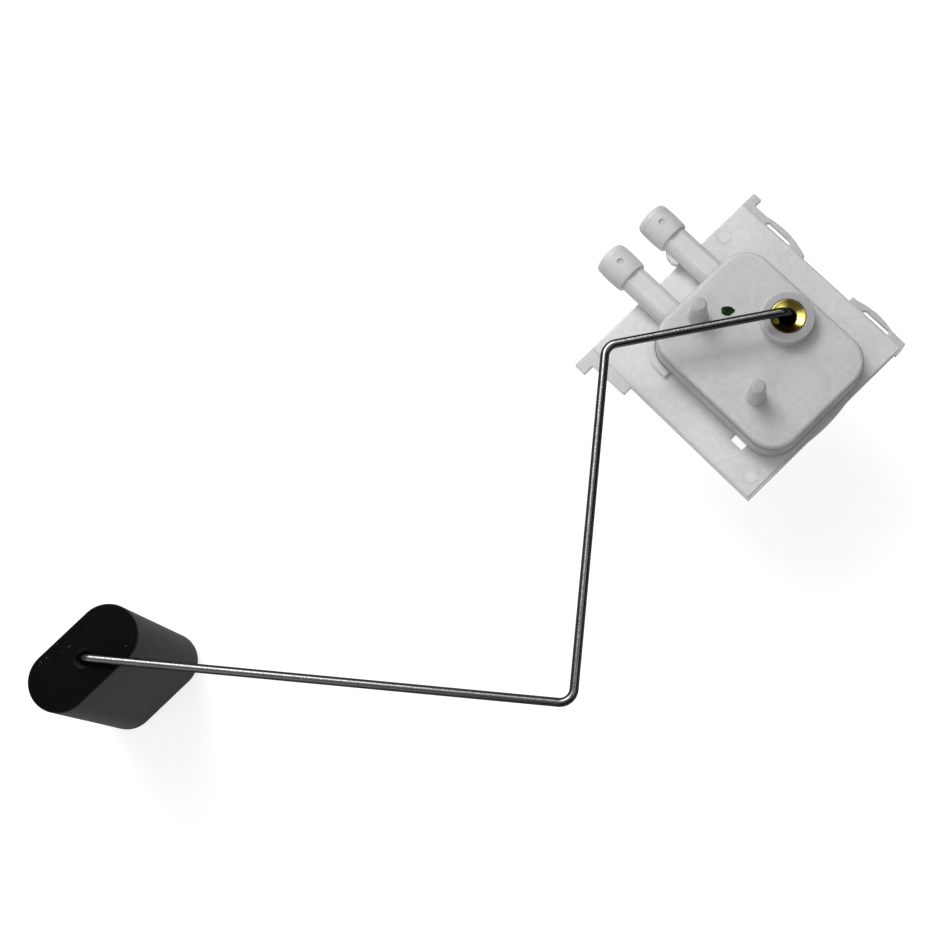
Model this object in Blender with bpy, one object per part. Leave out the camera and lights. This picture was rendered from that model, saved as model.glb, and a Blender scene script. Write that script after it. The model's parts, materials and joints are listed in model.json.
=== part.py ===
"""Fuel level sender: a moulded carrier with a closed card housing, a bent wire arm and a float.

X runs to the sprung edge of the plate, Y to the terminals and Z out of the cover. The origin is
on the plate's back face, on the arm's pivot axis. Lengths are in metres, angles in degrees.
"""
import math

import bmesh
import bpy
from mathutils import Matrix, Vector

# Clearances
FIT = 0.0003                # between pieces that seat on or in each other
EMBED = 0.0005              # how far a shape reaches into the one it is moulded to

# Plate, measured from the pivot axis
PLATE_THICK = 0.0020
PLATE_LEFT = 0.0397
PLATE_RIGHT = 0.0184
PLATE_BOTTOM = 0.0257
PLATE_TOP = 0.0329
LEFT_EAR = 0.0061
LEFT_STOP = 0.0292          # underside of the left ear
RIGHT_EAR = 0.0043
RIGHT_STOP = 0.0301         # underside of the right ear
LUG_REACH = 0.0029
LUG_LOW = 0.0177
LUG_TAPER = 0.0003
RIM_STEP = 0.0005           # how much lower the rim is than the plate's face
RIM_INSET = 0.0003
RIM_BOTTOM = 0.0022
GATE_START = -0.0170
GATE_END = -0.0030
GATE_RISE = 0.0005
GATE_STEP = 0.0003
FOOT_WIDTH = 0.0042
FOOT_REACH = 0.0005
FOOT_SLANT = 0.0002
FOOT_CORNER = 0.0016
SLOT_LEFT = -0.0313
SLOT_LOW = -0.0150
SLOT_WIDTH = 0.0021
SLOT_LENGTH = 0.0041
RIB_WIDTH = 0.0012
RIB_HEIGHT = 0.0010
RIB_LENGTH = 0.0100

# Bowed springs on the plate's edge: where each one and its bow start and end on Y
SPRING_ROOT = 0.0015
SPRING_SLANT = 0.0004
UPPER_START = 0.0106
UPPER_BOW_START = 0.0116
UPPER_BOW_END = 0.0255
UPPER_RISE = 0.0010
LOWER_BOW_START = -0.0203
LOWER_BOW_END = -0.0080
LOWER_END = -0.0064
LOWER_RISE = 0.0009
SLIT_INSET = 0.0001
SLIT_WIDTH = 0.00125
UPPER_SLIT_START = 0.0161
UPPER_SLIT_LENGTH = 0.0085
LOWER_SLIT_START = -0.0203
LOWER_SLIT_LENGTH = 0.0092
BOW_STEPS = 12

# Cover
COVER_LEFT = 0.0295
COVER_RIGHT = 0.0088
COVER_LOW = 0.0240
COVER_HIGH = 0.0234
COVER_HEIGHT = 0.0090
COVER_WALL = 0.0013
COVER_ROOF = 0.0016
COVER_CORNER = 0.0080
COVER_FILLET = 0.0020
COLLAR_RADIUS = 0.0070
COLLAR_HEIGHT = 0.0040
COLLAR_FILLET = 0.0004

# Stop pegs: distance from the pivot and direction
PEG_RADIUS = 0.0020
PEG_DRAFT = 0.0002
PEG_SPARE = 0.0002
PEG_1_DISTANCE = 0.0232
PEG_1_ANGLE = 131.4
PEG_2_DISTANCE = 0.0221
PEG_2_ANGLE = 202.5

# Housing wall of the carrier, inside the cover
POCKET_WALL = 0.0012
POCKET_GAP = 0.0005
BOSS_RADIUS = 0.0032

# Terminal sleeves and pins
SLEEVE_1_X = -0.0187
SLEEVE_2_X = -0.0030
TUBE_RADIUS = 0.0039
TUBE_FLAT = 0.0028
TUBE_END = 0.0383
HEAD_RADIUS = 0.0049
HEAD_BARREL = 0.0003
HEAD_LENGTH = 0.0090
HEAD_FILLET = 0.0008
MOUTH_RADIUS = 0.0033
MOUTH_DEPTH = 0.0082
WINDOW_RADIUS = 0.0009
WINDOW_DEPTH = 0.0005
NUB_REACH = 0.0013
NUB_LENGTH = 0.0050
NUB_HEIGHT = 0.0024
PIN_RADIUS = 0.0009
PIN_RECESS = 0.0049
PIN_INNER = 0.0020          # length of pin inside the housing
PIN_POINT = 0.0008

# Card, tracks and contact strips
CARD_LEFT = -0.0228
CARD_RIGHT = -0.0095
CARD_HALF = 0.0135
CARD_THICK = 0.0008
TRACK_THICK = 0.0002
TRACK_WIDTH = 0.0020
RESISTOR_START = 147.0
COLLECTOR_START = 140.0
TRACK_END = 213.0
PAD_WIDTH = 0.0028
PAD_LENGTH = 0.0024
STRIP_WIDTH = 0.0020
STRIP_THICK = 0.0004
STRIP_ELBOW = 0.0155

# Brass bush
BUSH_RADIUS = 0.00455
BUSH_NECK = 0.0030
BUSH_HEAD = 0.0024
BUSH_RIM = 0.0004
BUSH_SINK = 0.00015
BOWL_DEPTH = 0.0028
BOWL_STEPS = 8

# Float arm
WIRE_RADIUS = 0.00115
WIRE_RISE = 0.0048          # wire's axis above the collar
ARM_HEADING = 146.0
INNER_RUN_LENGTH = 0.0481
MIDDLE_RUN_LENGTH = 0.0925
OUTER_RUN_LENGTH = 0.1261
KNEE_1_TURN = 74.2
KNEE_2_TURN = -89.7
KNEE_RADIUS = 0.0036
END_BEND_RADIUS = 0.0028
BEND_STEPS = 7
SPINDLE_BED = 0.0003        # floor left under the spindle in its boss

# Wiper
WIPER_LEAD = 13.25          # wiper's direction at rest, ahead of the arm's
ROTOR_RADIUS = 0.0052
ROTOR_THICK = 0.0021
ROTOR_BOSS_RADIUS = 0.0030
ROTOR_BOSS = 0.0009
ROTOR_ARM = 0.0116
ROTOR_ARM_WIDTH = 0.0060
STUD_PLACE = 0.0084
STUD_RADIUS = 0.0008
SPRING_THICK = 0.0003
SPRING_START = 0.0062
SPRING_SPLIT = 0.0108
SPRING_WIDTH = 0.0052
FINGER_WIDTH = 0.0015
FINGER_OFFSET = 0.0015
INNER_REACH = 0.0145
TRACK_SPACE = 0.0025
FINGER_TIP = 0.0009
FINGER_BEND = 0.35          # share of the finger's free length on each side of its slope
BUTTON_RADIUS = 0.00075
BUTTON_THICK = 0.0005

# Washers and clips
WASHER_RADIUS = 0.0041
WASHER_THICK = 0.0004
WAVE_RADIUS = 0.0029
WAVE_HEIGHT = 0.0006
WAVE_THICK = 0.0002
WAVE_COUNT = 3
CLIP_THICK = 0.0004
CLIP_TEETH = 6
TOOTH_STEPS = 4
CLIP_NOTCH = 0.0007
SPINDLE_CLIP_RADIUS = 0.0030
FLOAT_CLIP_RADIUS = 0.0038
CLIP_TAIL = 0.0012

# Float
FLOAT_LENGTH = 0.0332
FLOAT_WIDTH = 0.0166
FLOAT_DEPTH = 0.0640
FLOAT_GAP = 0.00065         # between the wire and the float's front face
FLOAT_EDGE = 0.0007
SINK_RADIUS = 0.0028
SINK_DEPTH = 0.0024

# Facets of round pieces
ROUND = 40
SMALL_ROUND = 24

# Distances under which points are one, and heights the same
MERGE = 1e-7
LEVEL = 1e-6
RIM_ANGLE = 0.5             # radians; a sharper edge is a rim

# Heights that follow from the sizes above
COVER_TOP = PLATE_THICK + COVER_HEIGHT
COVER_UNDER = COVER_TOP - COVER_ROOF
COLLAR_TOP = COVER_TOP + COLLAR_HEIGHT
WIRE_Z = COLLAR_TOP + WIRE_RISE
CARD_LOW = PLATE_THICK + FIT
TRACK_LOW = CARD_LOW + CARD_THICK + FIT
TRACK_TOP = TRACK_LOW + TRACK_THICK
BUTTON_LOW = TRACK_TOP + FIT
TIP_LOW = BUTTON_LOW + BUTTON_THICK + FIT
STRIP_LOW = TRACK_TOP + FIT
SLEEVE_Z = STRIP_LOW + STRIP_THICK + FIT + PIN_RADIUS
WASHER_TOP = COVER_UNDER - FIT
ROTOR_TOP = WASHER_TOP - WASHER_THICK - FIT
ROTOR_LOW = ROTOR_TOP - ROTOR_THICK
BOSS_LOW = ROTOR_LOW - ROTOR_BOSS
SPRING_TOP = ROTOR_LOW - FIT
WAVE_TOP = BOSS_LOW - FIT
CLIP_TOP = WAVE_TOP - WAVE_HEIGHT - FIT
CARRIER_BOSS_TOP = CLIP_TOP - CLIP_THICK - FIT
FLOAT_FRONT = WIRE_Z - WIRE_RADIUS - FLOAT_GAP
FLOAT_BACK = FLOAT_FRONT - FLOAT_DEPTH

# Other values that follow
WIRE_BORE = WIRE_RADIUS + FIT
MOUTH_Y = TUBE_END + HEAD_LENGTH
POCKET_LEFT = COVER_LEFT - COVER_WALL - FIT
POCKET_RIGHT = COVER_RIGHT - COVER_WALL - FIT
POCKET_LOW = COVER_LOW - COVER_WALL - FIT
POCKET_HIGH = COVER_HIGH - COVER_WALL - FIT
POCKET_CORNER = COVER_CORNER - COVER_WALL - FIT
OUTER_REACH = INNER_REACH + TRACK_WIDTH + TRACK_SPACE
RESISTOR_RADIUS = math.hypot(OUTER_REACH, FINGER_OFFSET)
COLLECTOR_RADIUS = math.hypot(INNER_REACH, FINGER_OFFSET)


def clear_scene():
    for obj in list(bpy.data.objects):
        bpy.data.objects.remove(obj)


def add_object(name, mesh):
    obj = bpy.data.objects.new(name, mesh)
    bpy.context.scene.collection.objects.link(obj)
    return obj


def finish_mesh(name, bm):
    """Merges, closes and turns a bmesh outwards, and makes an object of it."""
    bmesh.ops.remove_doubles(bm, verts=bm.verts[:], dist=MERGE)
    bmesh.ops.recalc_face_normals(bm, faces=bm.faces[:])
    mesh = bpy.data.meshes.new(name)
    bm.to_mesh(mesh)
    bm.free()
    return add_object(name, mesh)


def bake(obj):
    """Replaces an object's mesh with its evaluated one."""
    graph = bpy.context.evaluated_depsgraph_get()
    mesh = bpy.data.meshes.new_from_object(obj.evaluated_get(graph))
    obj.modifiers.clear()
    obj.data = mesh


def combine(target, other, operation):
    """Joins, cuts or intersects target with other, and removes other."""
    modifier = target.modifiers.new(operation.lower(), "BOOLEAN")
    modifier.operation = operation
    modifier.solver = "EXACT"
    modifier.object = other
    bpy.context.view_layer.update()
    bake(target)
    bpy.data.objects.remove(other)


def join(target, *others):
    for other in others:
        combine(target, other, "UNION")


def cut(target, *others):
    for other in others:
        combine(target, other, "DIFFERENCE")


def prism(name, loops, low, high):
    """Solid between two heights over the first loop; the other loops are holes."""
    bm = bmesh.new()
    for loop in loops:
        verts = [bm.verts.new((x, y, low)) for x, y in loop]
        for start, end in zip(verts, verts[1:] + verts[:1]):
            bm.edges.new((start, end))
    bmesh.ops.triangle_fill(bm, use_beauty=True, use_dissolve=True, edges=bm.edges[:])
    raised = bmesh.ops.extrude_face_region(bm, geom=bm.faces[:])["geom"]
    verts = [item for item in raised if isinstance(item, bmesh.types.BMVert)]
    bmesh.ops.translate(bm, verts=verts, vec=(0, 0, high - low))
    return finish_mesh(name, bm)


def block(name, x, y, z):
    """Box over three (low, high) spans."""
    loop = [(x[0], y[0]), (x[1], y[0]), (x[1], y[1]), (x[0], y[1])]
    return prism(name, [loop], z[0], z[1])


def turned(name, profile, steps=ROUND, hollow=False):
    """Revolves (radius, height) points about Z; a hollow profile is a closed loop off the axis."""
    bm = bmesh.new()
    verts = [bm.verts.new((radius, 0, height)) for radius, height in profile]
    pairs = list(zip(verts, verts[1:]))
    if hollow:
        pairs.append((verts[-1], verts[0]))
    edges = [bm.edges.new(pair) for pair in pairs]
    bmesh.ops.spin(bm, geom=verts + edges, axis=(0, 0, 1), cent=(0, 0, 0), angle=math.tau,
                   steps=steps, use_merge=True)
    return finish_mesh(name, bm)


def along_y(obj, x, z):
    """Lays an object that was made about Z along Y at the given place."""
    turn = Matrix.Rotation(math.radians(-90), 4, "X")
    obj.data.transform(Matrix.Translation((x, 0, z)) @ turn)
    return obj


def ring_points(radius, steps, centre=(0, 0)):
    angles = [math.tau * step / steps for step in range(steps)]
    return [(centre[0] + radius * math.cos(a), centre[1] + radius * math.sin(a)) for a in angles]


def arc_points(radius, start, end, steps, centre=(0, 0)):
    """Points on an arc between two angles in degrees, both ends included."""
    angles = [math.radians(start + (end - start) * step / steps) for step in range(steps + 1)]
    return [(centre[0] + radius * math.cos(a), centre[1] + radius * math.sin(a)) for a in angles]


def bowed_points(start, end, rise, steps):
    """Points on a shallow arc that bulges to the right of its direction."""
    start = Vector(start)
    end = Vector(end)
    chord = end - start
    radius = (chord.length ** 2 / 4 + rise ** 2) / (2 * rise)
    right = Vector((chord.y, -chord.x)).normalized()
    centre = (start + end) / 2 - right * (radius - rise)
    half = math.asin(chord.length / 2 / radius)
    ahead = chord.normalized()
    points = []
    for step in range(steps + 1):
        angle = half * (2 * step / steps - 1)
        points.append(centre + right * radius * math.cos(angle) + ahead * radius * math.sin(angle))
    return [(point.x, point.y) for point in points]


def rounded_box(left, right, low, high, corner, steps=8):
    """Outline of a rectangle with round corners."""
    centres = [(right - corner, low + corner, -90), (right - corner, high - corner, 0),
               (left + corner, high - corner, 90), (left + corner, low + corner, 180)]
    points = []
    for x, y, start in centres:
        points += arc_points(corner, start, start + 90, steps, (x, y))
    return points


def ribbon(points, width):
    """Outline of a strip along a path, with mitred corners."""
    path = [Vector(point) for point in points]
    sides = []
    for index, point in enumerate(path):
        before = (point - path[index - 1]).normalized() if index else None
        after = (path[index + 1] - point).normalized() if index < len(path) - 1 else None
        ahead = ((before or after) + (after or before)).normalized()
        across = Vector((-ahead.y, ahead.x))
        reach = width / 2 / across.dot(Vector((-(after or before).y, (after or before).x)))
        sides.append((point + across * reach, point - across * reach))
    left = [(a.x, a.y) for a, b in sides]
    right = [(b.x, b.y) for a, b in reversed(sides)]
    return left + right


def rounded_route(corners, radii):
    """Path through 3-D corners, each inner corner rounded to its radius."""
    points = [corners[0]]
    for before, corner, after, radius in zip(corners, corners[1:], corners[2:], radii):
        back = (before - corner).normalized()
        ahead = (after - corner).normalized()
        half = back.angle(ahead) / 2
        centre = corner + (back + ahead).normalized() * radius / math.sin(half)
        start = corner + back * radius / math.tan(half) - centre
        axis = start.cross(corner + ahead * radius / math.tan(half) - centre)
        for step in range(BEND_STEPS + 1):
            turn = Matrix.Rotation((math.pi - 2 * half) * step / BEND_STEPS, 3, axis)
            points.append(centre + turn @ start)
    points.append(corners[-1])
    return points


def tube(name, route, radius):
    """Round rod along a path of points, with closed ends."""
    curve = bpy.data.curves.new(name, "CURVE")
    curve.dimensions = "3D"
    curve.bevel_depth = radius
    curve.bevel_resolution = 4
    curve.use_fill_caps = True
    spline = curve.splines.new("POLY")
    spline.points.add(len(route) - 1)
    for point, place in zip(spline.points, route):
        point.co = (*place, 1)
    guide = add_object(name + "_guide", curve)
    graph = bpy.context.evaluated_depsgraph_get()
    mesh = bpy.data.meshes.new_from_object(guide.evaluated_get(graph))
    bpy.data.objects.remove(guide)
    bm = bmesh.new()
    bm.from_mesh(mesh)
    return finish_mesh(name, bm)


def round_top_edges(obj, height, width, segments):
    """Fillets the edges that lie flat at one height."""
    bm = bmesh.new()
    bm.from_mesh(obj.data)
    rim = [edge for edge in bm.edges
           if all(abs(vert.co.z - height) < LEVEL for vert in edge.verts)
           and edge.calc_face_angle(0) > RIM_ANGLE]
    bmesh.ops.bevel(bm, geom=rim, offset=width, segments=segments, profile=0.5, affect="EDGES")
    bm.to_mesh(obj.data)
    bm.free()


def polar(distance, angle):
    return (distance * math.cos(math.radians(angle)), distance * math.sin(math.radians(angle)))


def foot_points(root):
    """Foot of the sprung edge, at the plate's right-hand bottom corner."""
    inner = root - FOOT_WIDTH
    high = -PLATE_BOTTOM + FOOT_SLANT * 2
    low = high - FOOT_REACH
    return [(inner, high), (inner, low), (root - FOOT_CORNER, low + FOOT_SLANT), (root, low + FOOT_SLANT * 3)]


def plate_outline():
    """Outline of the plate with its ears, lug, foot and bowed springs, counter-clockwise."""
    root = PLATE_RIGHT + SPRING_ROOT
    end = PLATE_RIGHT + RIGHT_EAR
    low = -PLATE_BOTTOM
    points = [(-PLATE_LEFT, low)]
    points += bowed_points((GATE_START, low), (GATE_END, low + GATE_STEP), GATE_RISE, BOW_STEPS)
    points += [(0, low + FOOT_SLANT * 2), *foot_points(root)]
    points += bowed_points((root + SPRING_SLANT / 2, LOWER_BOW_START), (root, LOWER_BOW_END),
                           LOWER_RISE, BOW_STEPS)
    points += [(root, LOWER_END), (PLATE_RIGHT, LOWER_END)]
    points += [(PLATE_RIGHT, UPPER_START), (PLATE_RIGHT + SPRING_ROOT / 2, UPPER_START)]
    points += bowed_points((root - SPRING_SLANT, UPPER_BOW_START), (root + SPRING_SLANT, UPPER_BOW_END),
                           UPPER_RISE, BOW_STEPS)
    points += [(root + SPRING_SLANT, RIGHT_STOP), (end, RIGHT_STOP), (end, PLATE_TOP)]
    points += [(-PLATE_LEFT - LEFT_EAR, PLATE_TOP), (-PLATE_LEFT - LEFT_EAR, LEFT_STOP)]
    points += [(-PLATE_LEFT - LUG_REACH, LEFT_STOP)]
    points += [(-PLATE_LEFT - LUG_REACH + LUG_TAPER, LUG_LOW), (-PLATE_LEFT, LUG_LOW)]
    return points


def slit_outline(start, length):
    """Lens-shaped slit behind a bowed spring."""
    x = PLATE_RIGHT + SLIT_INSET
    return bowed_points((x, start), (x, start + length), SLIT_WIDTH, BOW_STEPS)


def rim_outline():
    """Everything round the plate's raised face, on its left, bottom and right."""
    left = -PLATE_LEFT + RIM_INSET
    right = PLATE_RIGHT - RIM_INSET
    low = -PLATE_BOTTOM + RIM_BOTTOM
    far = 2 * PLATE_LEFT
    return [(-far, -far), (far, -far), (far, far), (right, far), (right, low), (left, low),
            (left, far), (-far, far)]


def slot_outline():
    right = SLOT_LEFT + SLOT_WIDTH
    high = SLOT_LOW + SLOT_LENGTH
    return [(SLOT_LEFT, SLOT_LOW), (right, SLOT_LOW), (right, high), (SLOT_LEFT, high)]


def make_plate():
    """Plate with its slits and slot, and its rim a step lower than its face."""
    slits = [slit_outline(UPPER_SLIT_START, UPPER_SLIT_LENGTH),
             slit_outline(LOWER_SLIT_START, LOWER_SLIT_LENGTH)]
    plate = prism("carrier", [plate_outline(), *slits, slot_outline()], 0, PLATE_THICK)
    cut(plate, prism("rim", [rim_outline()], PLATE_THICK - RIM_STEP, PLATE_THICK + RIB_HEIGHT))
    return plate


def pocket_outline(inset):
    return rounded_box(-POCKET_LEFT + inset, POCKET_RIGHT - inset, -POCKET_LOW + inset,
                       POCKET_HIGH - inset, POCKET_CORNER - inset)


def make_pocket():
    """Wall that stands on the plate inside the cover."""
    return prism("pocket", [pocket_outline(0), pocket_outline(POCKET_WALL)],
                 PLATE_THICK - EMBED, COVER_UNDER - POCKET_GAP)


def make_corner_rib():
    """Low rib that hugs the cover's foot round its corner next to the lug."""
    inner = COVER_CORNER + FIT
    outer = inner + RIB_WIDTH
    centre = (-COVER_LEFT + COVER_CORNER, COVER_HIGH - COVER_CORNER)
    end_y = centre[1] - (RIB_LENGTH - COVER_CORNER)
    outline = [(centre[0] - inner, end_y)]
    outline += arc_points(inner, 180, 90, 8, centre)
    outline += arc_points(outer, 90, 180, 8, centre)
    outline += [(centre[0] - outer, end_y)]
    return prism("rib", [outline], PLATE_THICK - EMBED, PLATE_THICK + RIB_HEIGHT)


def tube_outline(grow):
    """Round section of a terminal tube with its flat front, in X and height."""
    radius = TUBE_RADIUS + grow
    flat = TUBE_FLAT + grow
    edge = math.degrees(math.asin(flat / radius))
    return arc_points(radius, 180 - edge, 360 + edge, ROUND)


def tube_solid(name, grow, start, end):
    """Terminal tube's body between two places on Y, about the Y axis."""
    solid = prism(name, [tube_outline(grow)], -end, -start)
    solid.data.transform(Matrix.Rotation(math.radians(90), 4, "X"))
    return solid


def head_profile():
    """Half section of a sleeve's barrel head, from its shoulder to its mouth."""
    radius = HEAD_RADIUS - HEAD_BARREL
    middle = TUBE_END + HEAD_LENGTH / 2
    side = [(HEAD_RADIUS, middle - HEAD_LENGTH / 6), (HEAD_RADIUS, middle + HEAD_LENGTH / 6)]
    corner = arc_points(HEAD_FILLET, 0, 90, 4, (radius - HEAD_FILLET, MOUTH_Y - HEAD_FILLET))
    return [(0, TUBE_END), (radius, TUBE_END), *side, *corner, (0, MOUTH_Y)]


def sleeve_bore():
    """Bore for the pin, wide at the mouth."""
    neck = PIN_RADIUS + FIT
    floor = MOUTH_Y - MOUTH_DEPTH
    start = POCKET_HIGH - 2 * POCKET_WALL
    return [(0, start), (neck, start), (neck, floor), (MOUTH_RADIUS, floor),
            (MOUTH_RADIUS, MOUTH_Y + EMBED), (0, MOUTH_Y + EMBED)]


def make_sleeve(x):
    """Terminal sleeve: flat-fronted tube and barrel head, still without its bore."""
    sleeve = tube_solid("sleeve", 0, POCKET_HIGH - POCKET_WALL / 2, TUBE_END + EMBED)
    head = turned("head", head_profile())
    head.data.transform(Matrix.Rotation(math.radians(-90), 4, "X"))
    window = turned("window", [(0, 0), (WINDOW_RADIUS, 0), (WINDOW_RADIUS, HEAD_RADIUS),
                               (0, HEAD_RADIUS)], SMALL_ROUND)
    window.location = (0, MOUTH_Y - HEAD_LENGTH / 2, HEAD_RADIUS - WINDOW_DEPTH)
    join(sleeve, head)
    cut(sleeve, window)
    sleeve.data.transform(Matrix.Translation((x, 0, SLEEVE_Z)))
    return sleeve


def make_nub():
    """Small moulded nub on the side of the second tube, past the plate's edge."""
    reach = TUBE_RADIUS + NUB_REACH
    middle = PLATE_TOP + 0.4 * NUB_LENGTH
    outline = [(0, middle - NUB_LENGTH / 2), (-reach + NUB_REACH / 2, middle - NUB_LENGTH / 2),
               (-reach, middle - NUB_LENGTH / 5), (-reach + NUB_REACH / 4, middle + NUB_LENGTH / 5),
               (-TUBE_RADIUS, middle + NUB_LENGTH / 2), (0, middle + NUB_LENGTH / 2)]
    outline = [(SLEEVE_2_X + x, y) for x, y in outline]
    return prism("nub", [outline], SLEEVE_Z - NUB_HEIGHT, SLEEVE_Z)


def make_carrier():
    """The whole white moulding that everything else is built on."""
    carrier = make_plate()
    boss = turned("boss", [(0, PLATE_THICK - EMBED), (BOSS_RADIUS, PLATE_THICK - EMBED),
                           (BOSS_RADIUS, CARRIER_BOSS_TOP), (0, CARRIER_BOSS_TOP)])
    bearing = turned("bearing", [(0, PLATE_THICK), (WIRE_BORE, PLATE_THICK),
                                 (WIRE_BORE, COVER_UNDER), (0, COVER_UNDER)])
    join(carrier, make_pocket(), make_corner_rib(), boss)
    join(carrier, make_sleeve(SLEEVE_1_X), make_sleeve(SLEEVE_2_X), make_nub())
    cut(carrier, bearing)
    for x in (SLEEVE_1_X, SLEEVE_2_X):
        cut(carrier, along_y(turned("bore", sleeve_bore(), SMALL_ROUND), x, SLEEVE_Z))
    return carrier


def cover_outline(inset):
    return rounded_box(-COVER_LEFT + inset, COVER_RIGHT - inset, -COVER_LOW + inset,
                       COVER_HIGH - inset, COVER_CORNER - inset)


def make_peg(distance, angle):
    """Stop peg for the arm, moulded on the cover's roof."""
    top = WIRE_Z + WIRE_RADIUS + PEG_SPARE
    foot = PEG_RADIUS + PEG_DRAFT
    profile = [(0, COVER_TOP - EMBED), (foot, COVER_TOP - EMBED), (PEG_RADIUS, top - PEG_DRAFT),
               (PEG_RADIUS - PEG_DRAFT, top), (0, top)]
    peg = turned("peg", profile, SMALL_ROUND)
    peg.location = (*polar(distance, angle), 0)
    return peg


def collar_profile():
    corner = arc_points(COLLAR_FILLET, 0, 90, 3,
                        (COLLAR_RADIUS - COLLAR_FILLET, COLLAR_TOP - COLLAR_FILLET))
    return [(0, COVER_TOP - EMBED), (COLLAR_RADIUS, COVER_TOP - EMBED), *corner, (0, COLLAR_TOP)]


def bush_seat_profile():
    """Stepped bore in the cover that takes the bush."""
    step = COLLAR_TOP - BUSH_SINK - BUSH_HEAD - FIT
    low = COVER_UNDER - EMBED
    high = COLLAR_TOP + EMBED
    return [(0, low), (BUSH_NECK + FIT, low), (BUSH_NECK + FIT, step), (BUSH_RADIUS + FIT, step),
            (BUSH_RADIUS + FIT, high), (0, high)]


def make_cover():
    """Rounded square cap with its collar and two stop pegs."""
    foot = PLATE_THICK + FIT
    cover = prism("cover", [cover_outline(0)], foot, COVER_TOP)
    round_top_edges(cover, COVER_TOP, COVER_FILLET, 5)
    hollow = prism("hollow", [cover_outline(COVER_WALL)], PLATE_THICK - FIT, COVER_UNDER)
    cut(cover, hollow)
    join(cover, turned("collar", collar_profile()))
    join(cover, make_peg(PEG_1_DISTANCE, PEG_1_ANGLE), make_peg(PEG_2_DISTANCE, PEG_2_ANGLE))
    cut(cover, turned("seat", bush_seat_profile()))
    for x in (SLEEVE_1_X, SLEEVE_2_X):
        notch = tube_solid("notch", FIT, COVER_HIGH - 2 * COVER_WALL, COVER_HIGH + COVER_WALL)
        notch.location = (x, 0, SLEEVE_Z)
        relief = block("relief", (x - TUBE_RADIUS - FIT, x + TUBE_RADIUS + FIT),
                       (COVER_HIGH - 2 * COVER_WALL, COVER_HIGH + COVER_WALL),
                       (PLATE_THICK - FIT, SLEEVE_Z))
        cut(cover, notch, relief)
    return cover


def make_bush():
    """Turned brass bush with a dished mouth."""
    top = COLLAR_TOP - BUSH_SINK
    step = top - BUSH_HEAD
    rim = BUSH_RADIUS - BUSH_RIM
    floor = top - BOWL_DEPTH
    centre = (rim ** 2 + top ** 2 - WIRE_BORE ** 2 - floor ** 2) / (2 * (top - floor))
    radius = math.hypot(rim, top - centre)
    start = math.degrees(math.asin((top - centre) / radius))
    end = math.degrees(math.asin((floor - centre) / radius))
    bowl = arc_points(radius, start, end, BOWL_STEPS, (0, centre))
    profile = [(WIRE_BORE, COVER_UNDER), (BUSH_NECK, COVER_UNDER), (BUSH_NECK, step),
               (BUSH_RADIUS, step), (BUSH_RADIUS, top), *bowl]
    return turned("brass_bush", profile, hollow=True)


def card_outline():
    return [(CARD_LEFT, -CARD_HALF), (CARD_RIGHT, -CARD_HALF), (CARD_RIGHT, CARD_HALF),
            (CARD_LEFT, CARD_HALF)]


def track_outline(radius, start):
    half = TRACK_WIDTH / 2
    inner = arc_points(radius - half, start, TRACK_END, ROUND)
    outer = arc_points(radius + half, TRACK_END, start, ROUND)
    return inner + outer


def pad_place(radius, start):
    """Centre of the solder pad past a track's end."""
    x, y = polar(radius, start)
    clear = TRACK_WIDTH / 2 * abs(math.sin(math.radians(start))) + FIT + PAD_LENGTH / 2
    return (x, y + clear)


def make_pad(name, place):
    x, y = place
    across = (x - PAD_WIDTH / 2, x + PAD_WIDTH / 2)
    along = (y - PAD_LENGTH / 2, y + PAD_LENGTH / 2)
    return block(name, across, along, (TRACK_LOW, TRACK_TOP))


def make_strip(name, sleeve_x, pad):
    """Contact strip from under a terminal pin to its pad on the card."""
    high = POCKET_HIGH - POCKET_WALL - FIT
    path = [(sleeve_x, high), (sleeve_x, STRIP_ELBOW), (pad[0], STRIP_ELBOW), (pad[0], pad[1])]
    return prism(name, [ribbon(path, STRIP_WIDTH)], STRIP_LOW, STRIP_LOW + STRIP_THICK)


def make_pin(name, x):
    """Round terminal pin from inside the housing to the sleeve's mouth."""
    start = POCKET_HIGH - POCKET_WALL - PIN_INNER
    tip = MOUTH_Y - PIN_RECESS
    profile = [(0, start), (PIN_RADIUS, start), (PIN_RADIUS, tip - PIN_POINT),
               (PIN_RADIUS / 3, tip), (0, tip)]
    return along_y(turned(name, profile, SMALL_ROUND), x, SLEEVE_Z)


def push_clip(name, radius, top):
    """Push-on clip with teeth that grip the wire."""
    inner = []
    steps = CLIP_TEETH * TOOTH_STEPS
    for step in range(steps):
        reach = WIRE_BORE if step % TOOTH_STEPS < TOOTH_STEPS / 2 else WIRE_BORE + CLIP_NOTCH
        inner.append(polar(reach, 360 * step / steps))
    return prism(name, [ring_points(radius, SMALL_ROUND), inner], top - CLIP_THICK, top)


def arm_corners():
    """Corners of the wire: spindle end, bend, two knees, end bend and axle end."""
    knee_1 = Vector((*polar(INNER_RUN_LENGTH, ARM_HEADING), WIRE_Z))
    heading = ARM_HEADING + KNEE_1_TURN
    knee_2 = knee_1 + Vector((*polar(MIDDLE_RUN_LENGTH, heading), 0))
    heading += KNEE_2_TURN
    end = knee_2 + Vector((*polar(OUTER_RUN_LENGTH, heading), 0))
    axle_end = FLOAT_BACK - FIT - CLIP_THICK - CLIP_TAIL
    return [Vector((0, 0, PLATE_THICK + SPINDLE_BED + FIT)), Vector((0, 0, WIRE_Z)), knee_1, knee_2,
            end, Vector((end.x, end.y, axle_end))]


def make_arm():
    route = rounded_route(arm_corners(), [END_BEND_RADIUS, KNEE_RADIUS, KNEE_RADIUS, END_BEND_RADIUS])
    return tube("float_arm", route, WIRE_RADIUS)


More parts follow.
